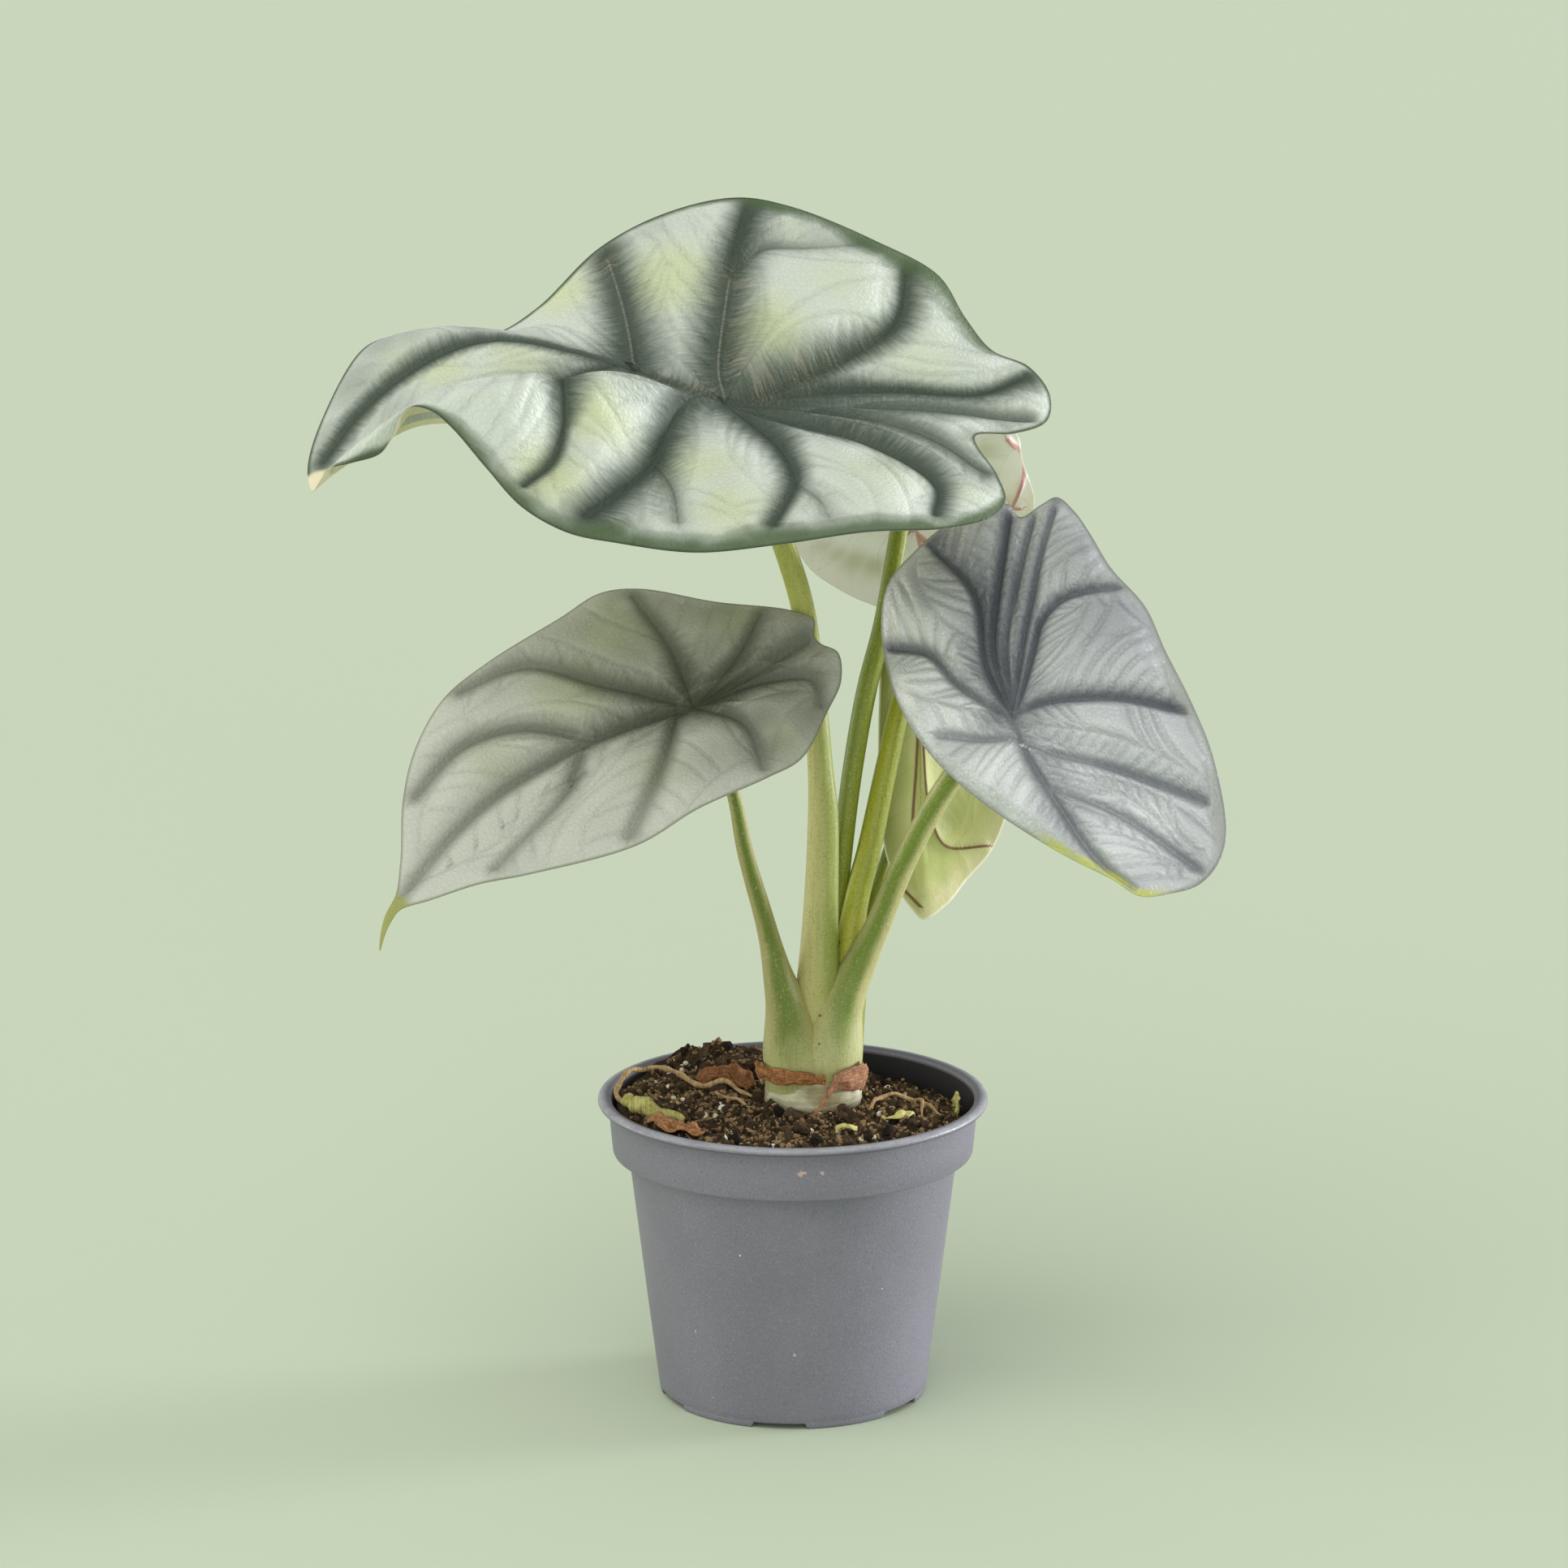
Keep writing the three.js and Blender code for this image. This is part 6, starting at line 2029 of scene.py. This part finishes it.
ROOTS = (
    Root(
        "left_dry_root", "dry_root_left", "dry_tan", TAN,
        (
            (-52, -7, 1, 0.65), (-54, 2, 4, 0.8), (-48, 11, 6, 0.8), (-40, 13, 6, 0.8), (-31, 10, 4, 0.85),
            (-19, 7, 2.5, 0.75), (-13, 3, 0.5, 0.55),
        ),
        seed=51,
    ),
    Root(
        "right_dry_root", "dry_root_right", "dry_tan", TAN,
        (
            (23, -14, -1, 0.55), (27, -5, 3, 0.65), (36.9, -2, 2.5, 0.65), (44.3, -6, 1, 0.6),
            (48.6, -7.6, 0.4, 0.5),
        ),
        seed=52,
    ),
    Root(
        "forked_root", None, "dry_tan", TAN,
        ((36.9, -2, 2.5, 0.55), (39.6, -9, 2.4, 0.5), (39.2, -16, 0.6, 0.4)),
        seed=54,
    ),
    Root(
        "thin_root", None, "dry_tan", TAN,
        ((-24, 4, 1.6, 0.5), (-18, -1, 1.4, 0.55), (-12, -7, 0.6, 0.4)),
        seed=55,
    ),
    Root(
        "stalk_stub_piece", "stalk_stub", "dry_yellow", OLIVE_STUB,
        ((-51, -12, 3.2, 1.9), (-46, -17, 3.0, 2.6), (-38.5, -22, 1.8, 1.8), (-33, -25, 0.6, 1.0)),
        seed=70, shake=0.25,
    ),
)


@dataclass
class PotShell:
    """The moulded nursery pot: a lathed shell with a rolled lip, a band, a foot ring and drains."""

    around: int = 360
    notches: int = 6
    first_degrees: float = -96.0
    notch_half_degrees: float = 10.8
    notch_soft_degrees: float = 1.4
    notch_mm: float = 1.9
    slot_degrees: float = 14.0
    slot_inner_mm: float = 32.5
    slot_outer_mm: float = 37.5
    floor_under_mm: float = 1.8
    floor_over_mm: float = 3.0
    piece_mm: float = 8.0

    # radius and height all round the wall, from the middle of the underside to the middle of the floor
    SECTION = (
        (0.02, 0.0), (9, 0.0), (9.6, 0.5), (10, 1.8), (24, 1.8), (32.5, 1.8), (37.5, 1.8), (38.2, 1.8),
        (38.6, 1.4), (38.9, 0.15), (39.1, 0.0), (40.5, 0.0), (40.9, 0.12), (41.2, 0.5), (41.42, 1.9),
        (41.36, 2.2), (41.5, 2.45), (41.8, 4.6), (45.0, 30), (50.6, 76.0), (50.72, 76.7), (51.2, 77.0),
        (54.9, 77.0), (55.3, 77.15), (55.5, 77.6), (56.1, 84), (56.65, 91.3), (56.8, 91.9), (57.3, 92.2),
        (59.2, 92.25), (59.75, 92.5), (60, 93.0), (59.95, 93.6), (59.6, 94.15), (59.0, 94.45), (58.3, 94.5),
        (57.2, 94.45), (56.5, 94.2), (56.0, 93.7), (55.6, 92.6), (54.9, 85), (54.45, 78.6), (54.2, 78.3),
        (50.3, 78.25), (49.6, 77.9), (49.4, 77), (44.0, 30), (40.4, 3.8), (40.1, 3.2), (39.5, 3.0),
        (37.5, 3.0), (32.5, 3.0), (20, 3.0), (0.02, 3.0),
    )

    def profile(self) -> np.ndarray:
        """The section, with long straight runs cut into shorter ones."""
        rows = [np.array(self.SECTION[0])]
        for point in np.array(self.SECTION[1:]):
            pieces = max(1, int(np.linalg.norm(point - rows[-1]) / self.piece_mm))
            start = rows[-1]
            rows += [start + (point - start) * k / pieces for k in range(1, pieces + 1)]
        return np.array(rows)

    def build(self) -> None:
        """Build the shell with its drains."""
        section = self.profile()
        radius, z = section.T
        degrees = np.arange(self.around) * 360 / self.around
        pitch = 360 / self.notches
        nearest = np.abs((degrees - self.first_degrees + pitch / 2) % pitch - pitch / 2)
        half = self.notch_half_degrees
        window = 1 - smooth(nearest, half, half + self.notch_soft_degrees)
        foot = (radius > 38.4) & (z < 1.9)
        lifted = np.where(foot[:, None], np.maximum(z[:, None], self.notch_mm * window), z[:, None])
        rows = lathed(radius, lifted, self.around) * MM
        # the lip's crest: smoother, and with a painted highlight
        lip = bell(radius - 59.2, 1.1) * (z > 93.0)
        # lines of painted shade: under the lip, under the band and along the lip's inner edge
        under_lip = (radius > 56.0) & (z > 91.6) & (z < 92.8)
        under_band = (radius > 50.5) & (radius < 55.0) & (z < 77.2) & (z > 76.5)
        painted_shade_line = np.maximum((under_lip | under_band) * 1.0, bell(radius - 57.0, 0.7) * (z > 94.0))
        inside = np.arange(len(z)) > int(np.argmax((radius < 56.3) & (z > 93) & (z < 94.3)))
        points = rows.reshape(-1, 3)
        rings = {"lip": lip, "painted_shade_line": painted_shade_line, "inside": (inside & (z > 3.5)).astype(float)}
        values = {key: np.repeat(value, self.around) for key, value in rings.items()}
        made = new_mesh("nursery_pot", points, outwards(points, self.drained(section)), values)
        made.data.materials.append(PotFinish().material())
        settle(made, "pot")

    def drained(self, section: np.ndarray) -> np.ndarray:
        """The shell's faces, with a slot through the floor behind each notch."""
        around = self.around
        low, high = self.floor_under_mm, self.floor_over_mm
        corners = [(self.slot_inner_mm, low), (self.slot_outer_mm, low)]
        corners += [(self.slot_outer_mm, high), (self.slot_inner_mm, high)]
        rows = [int(np.nonzero(np.isclose(section, corner).all(1))[0][0]) for corner in corners]
        width = round(self.slot_degrees * around / 360)
        turns = [self.first_degrees + 360 * k / self.notches for k in range(self.notches)]
        first = [round((turn - self.slot_degrees / 2) * around / 360) for turn in turns]
        faces = ring_quads(len(section), around)
        ring, side = np.divmod(np.arange(len(faces)), around)
        slot = ((side[:, None] - first) % around < width).any(1)
        floor = ((ring >= rows[0]) & (ring < rows[1])) | ((ring >= rows[2]) & (ring < rows[3]))
        walls = [self.slot_walls(start, width, rows) for start in first]
        return np.concatenate([faces[~(slot & floor)], *walls])

    def slot_walls(self, start: int, width: int, rows: Sequence[int]) -> list[tuple[int, ...]]:
        """The four walls of one drain slot."""
        row_in, row_out, top_out, top_in = rows

        def at(row: int, side: int) -> int:
            """The number of a point."""
            return row * self.around + side % self.around

        walls = []
        for side in range(start, start + width):
            walls.append((at(row_in, side), at(row_in, side + 1), at(top_in, side + 1), at(top_in, side)))
            walls.append((at(row_out, side + 1), at(row_out, side), at(top_out, side), at(top_out, side + 1)))
        for k in range(row_out - row_in):
            for side, order in ((start, 1), (start + width, -1)):
                near, far = row_in + k, top_in - k
                quad = (at(near + 1, side), at(near, side), at(far, side), at(far - 1, side))
                walls.append(quad[::order])
        return walls


@dataclass
class Litter:
    """Everything dry that lies on the soil or hangs round the foot of the plant."""

    scraps: tuple[Scrap, ...] = (
        Scrap(
            "left_old_sheath", "old_sheath_left", "dry_sheath", BROWN_SHEATH,
            (
                (-11.2, 4, 102.4, 0.6, 1.8), (-10.2, -4, 103, 0.7, 2.5), (-4.2, -11.6, 103.2, 0.7, 2.5),
                (3, -14.8, 103.6, 0.7, 2.2), (10, -15.6, 103.2, 0.5, 1.4),
            ),
            upright=True, on_soil=False, curl=0.12, crumple=0.35, seed=61,
        ),
        Scrap(
            "right_old_sheath", "old_sheath_right", "dry_sheath", PINK_SHEATH,
            (
                (12, -13.4, 102, 0.6, 2.0), (17, -10.6, 102, 0.7, 3.4), (21.2, -5.2, 101.6, 0.7, 4.0),
                (22.6, 1.5, 101, 0.6, 2.4),
            ),
            upright=True, on_soil=False, curl=0.15, crumple=0.4, seed=62,
        ),
        Scrap(
            "hanging_sheath_strip", None, "dry_sheath", PINK_SHEATH,
            (
                (14, -14.2, 104, 2.2, 0), (11.2, -15.9, 99.5, 2.1, 0), (9, -16.4, 95.5, 1.6, 0),
                (5.5, -17.2, 91.2, 1.0, 0),
            ),
            on_soil=False, curl=0.3, crumple=0.25, seed=63,
        ),
        Scrap(
            "dead_leaf", "dry_leaf", "dry_brown", BROWN_LEAF,
            (
                (-45, -25, 1.2, 1, 0.6), (-40, -30, 2.4, 3.4, 0.8), (-33, -35, 2.4, 3.6, 0.8),
                (-26, -40, 1, 1.2, 0.6),
            ),
            curl=0.45, crumple=0.9, seed=64,
        ),
        Scrap(
            "left_bark_scrap", "bark_scrap", "dry_brown", BARK,
            (
                (-29, 14, 1.5, 2.4, 0.8), (-24, 16, 4.4, 5.0, 1.1), (-18, 14, 4.8, 4.8, 1.0),
                (-13, 8, 1.4, 2.2, 0.8),
            ),
            curl=0.55, crumple=0.8, seed=65,
        ),
        Scrap(
            "wall_scrap", "yellow_scrap", "dry_yellow", YELLOW_SCRAP,
            ((49.6, 10, 2.4, 0.8, 1.8), (51, 1, 3.4, 0.9, 3.6), (50.2, -9, 2.0, 0.8, 2.0)),
            upright=True, curl=0.1, crumple=0.5, seed=66,
        ),
        Scrap(
            "pale_curl", None, "dry_yellow", YELLOW_SCRAP,
            ((27, -22, 1.4, 0.8, 0), (31, -24, 2.6, 1.9, 0), (35, -21, 2.2, 1.6, 0), (37, -17, 1.2, 0.7, 0)),
            curl=0.5, crumple=0.8, seed=67,
        ),
        Scrap(
            "pale_flake", None, "dry_yellow", YELLOW_SCRAP,
            ((13, -36, 1.2, 0.8, 0), (16, -37.5, 2.0, 1.6, 0), (19, -36, 1.2, 0.9, 0)),
            curl=0.5, crumple=0.6, seed=68,
        ),
    )
    roots: tuple[Root, ...] = ROOTS

    def build(self, form: NodeForm) -> None:
        """Build the scraps, then the roots with the stalk's stub.

        Args:
            form: The strand tree.
        """
        for scrap in self.scraps:
            scrap.build()
        for root in self.roots:
            root.build(form)


# ---------------------------------------------------------------- studio


class Lamp(Enum):
    """A distant soft light: where it shines from, in degrees, its strength, softness and colour."""

    KEY = (-126, 56, 1.15, 56, (255, 253, 248))
    FILL = (-86, 6, 0.75, 40, (255, 254, 250))
    LEFT = (168, 2, 1.4, 22, (255, 250, 242))
    RIGHT = (16, 2, 5.3, 22, (250, 248, 255))

    def build(self) -> None:
        """Hang the light."""
        azimuth, height, strength, softness, colour = self.value
        data = bpy.data.lights.new(self.name.lower(), "SUN")
        data.energy = strength
        data.angle = math.radians(softness)
        data.color = linear(colour)[:3]
        lamp = add_object(self.name.lower(), data)
        turn, rise = math.radians(azimuth), math.radians(height)
        away = Vector((math.cos(turn) * math.cos(rise), math.sin(turn) * math.cos(rise), math.sin(rise)))
        lamp.rotation_euler = away.to_track_quat("Z", "Y").to_euler()


@dataclass(frozen=True)
class Studio:
    """The pale floor, the soft lights and the camera at the photograph's angle."""

    camera_mm: Point = (-2.75, -1726.2, 604.5)
    pitch_degrees: float = 13.43
    lens_mm: float = 134.16
    sensor_mm: float = 36.0
    seen_m: tuple[float, float] = (0.05, 60.0)
    floor_reach: float = 14.0
    room: float = 0.6
    room_colour: Colour = (250, 251, 250)

    def floor(self) -> None:
        """A flat floor that reaches past the edges of the picture."""
        reach = self.floor_reach
        sides = ((-1, -1), (1, -1), (1, 1), (-1, 1))
        corners = np.array([(x * reach, y * reach, 0) for x, y in sides], float)
        made = new_mesh("studio_floor", corners, np.array([[0, 1, 2, 3]]), {})
        made.data.materials.append(FloorFinish().material())

    def camera(self) -> None:
        """The camera, with no shift and no depth of field."""
        data = bpy.data.cameras.new("photograph")
        data.lens = self.lens_mm
        data.sensor_width = self.sensor_mm
        data.clip_start, data.clip_end = self.seen_m
        made = add_object("photograph", data)
        made.location = [v * MM for v in self.camera_mm]
        made.rotation_euler = (math.radians(90 - self.pitch_degrees), 0, 0)
        bpy.context.scene.camera = made

    def build(self) -> None:
        """Set up the whole studio."""
        self.floor()
        for lamp in Lamp:
            lamp.build()
        world = bpy.data.worlds.new("soft_room")
        world.use_nodes = True
        background = world.node_tree.nodes["Background"]
        background.inputs["Color"].default_value = linear(self.room_colour)
        background.inputs["Strength"].default_value = self.room
        bpy.context.scene.world = world
        bpy.context.scene.view_settings.view_transform = "Standard"
        self.camera()


def main() -> None:
    """Build the studio and every piece, in order."""
    logging.basicConfig(level=logging.INFO, format="%(message)s")
    Studio().build()
    strands = strand_form()
    crumbs = crumb_form()
    PotShell().build()
    SoilBed().build(crumbs)
    Corm().build(strands)
    Litter().build(strands)
    for leaf in LEAVES:
        leaf.build()
    for stalk in STALKS:
        stalk.build(strands)
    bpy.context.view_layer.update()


if __name__ == "__main__":
    main()
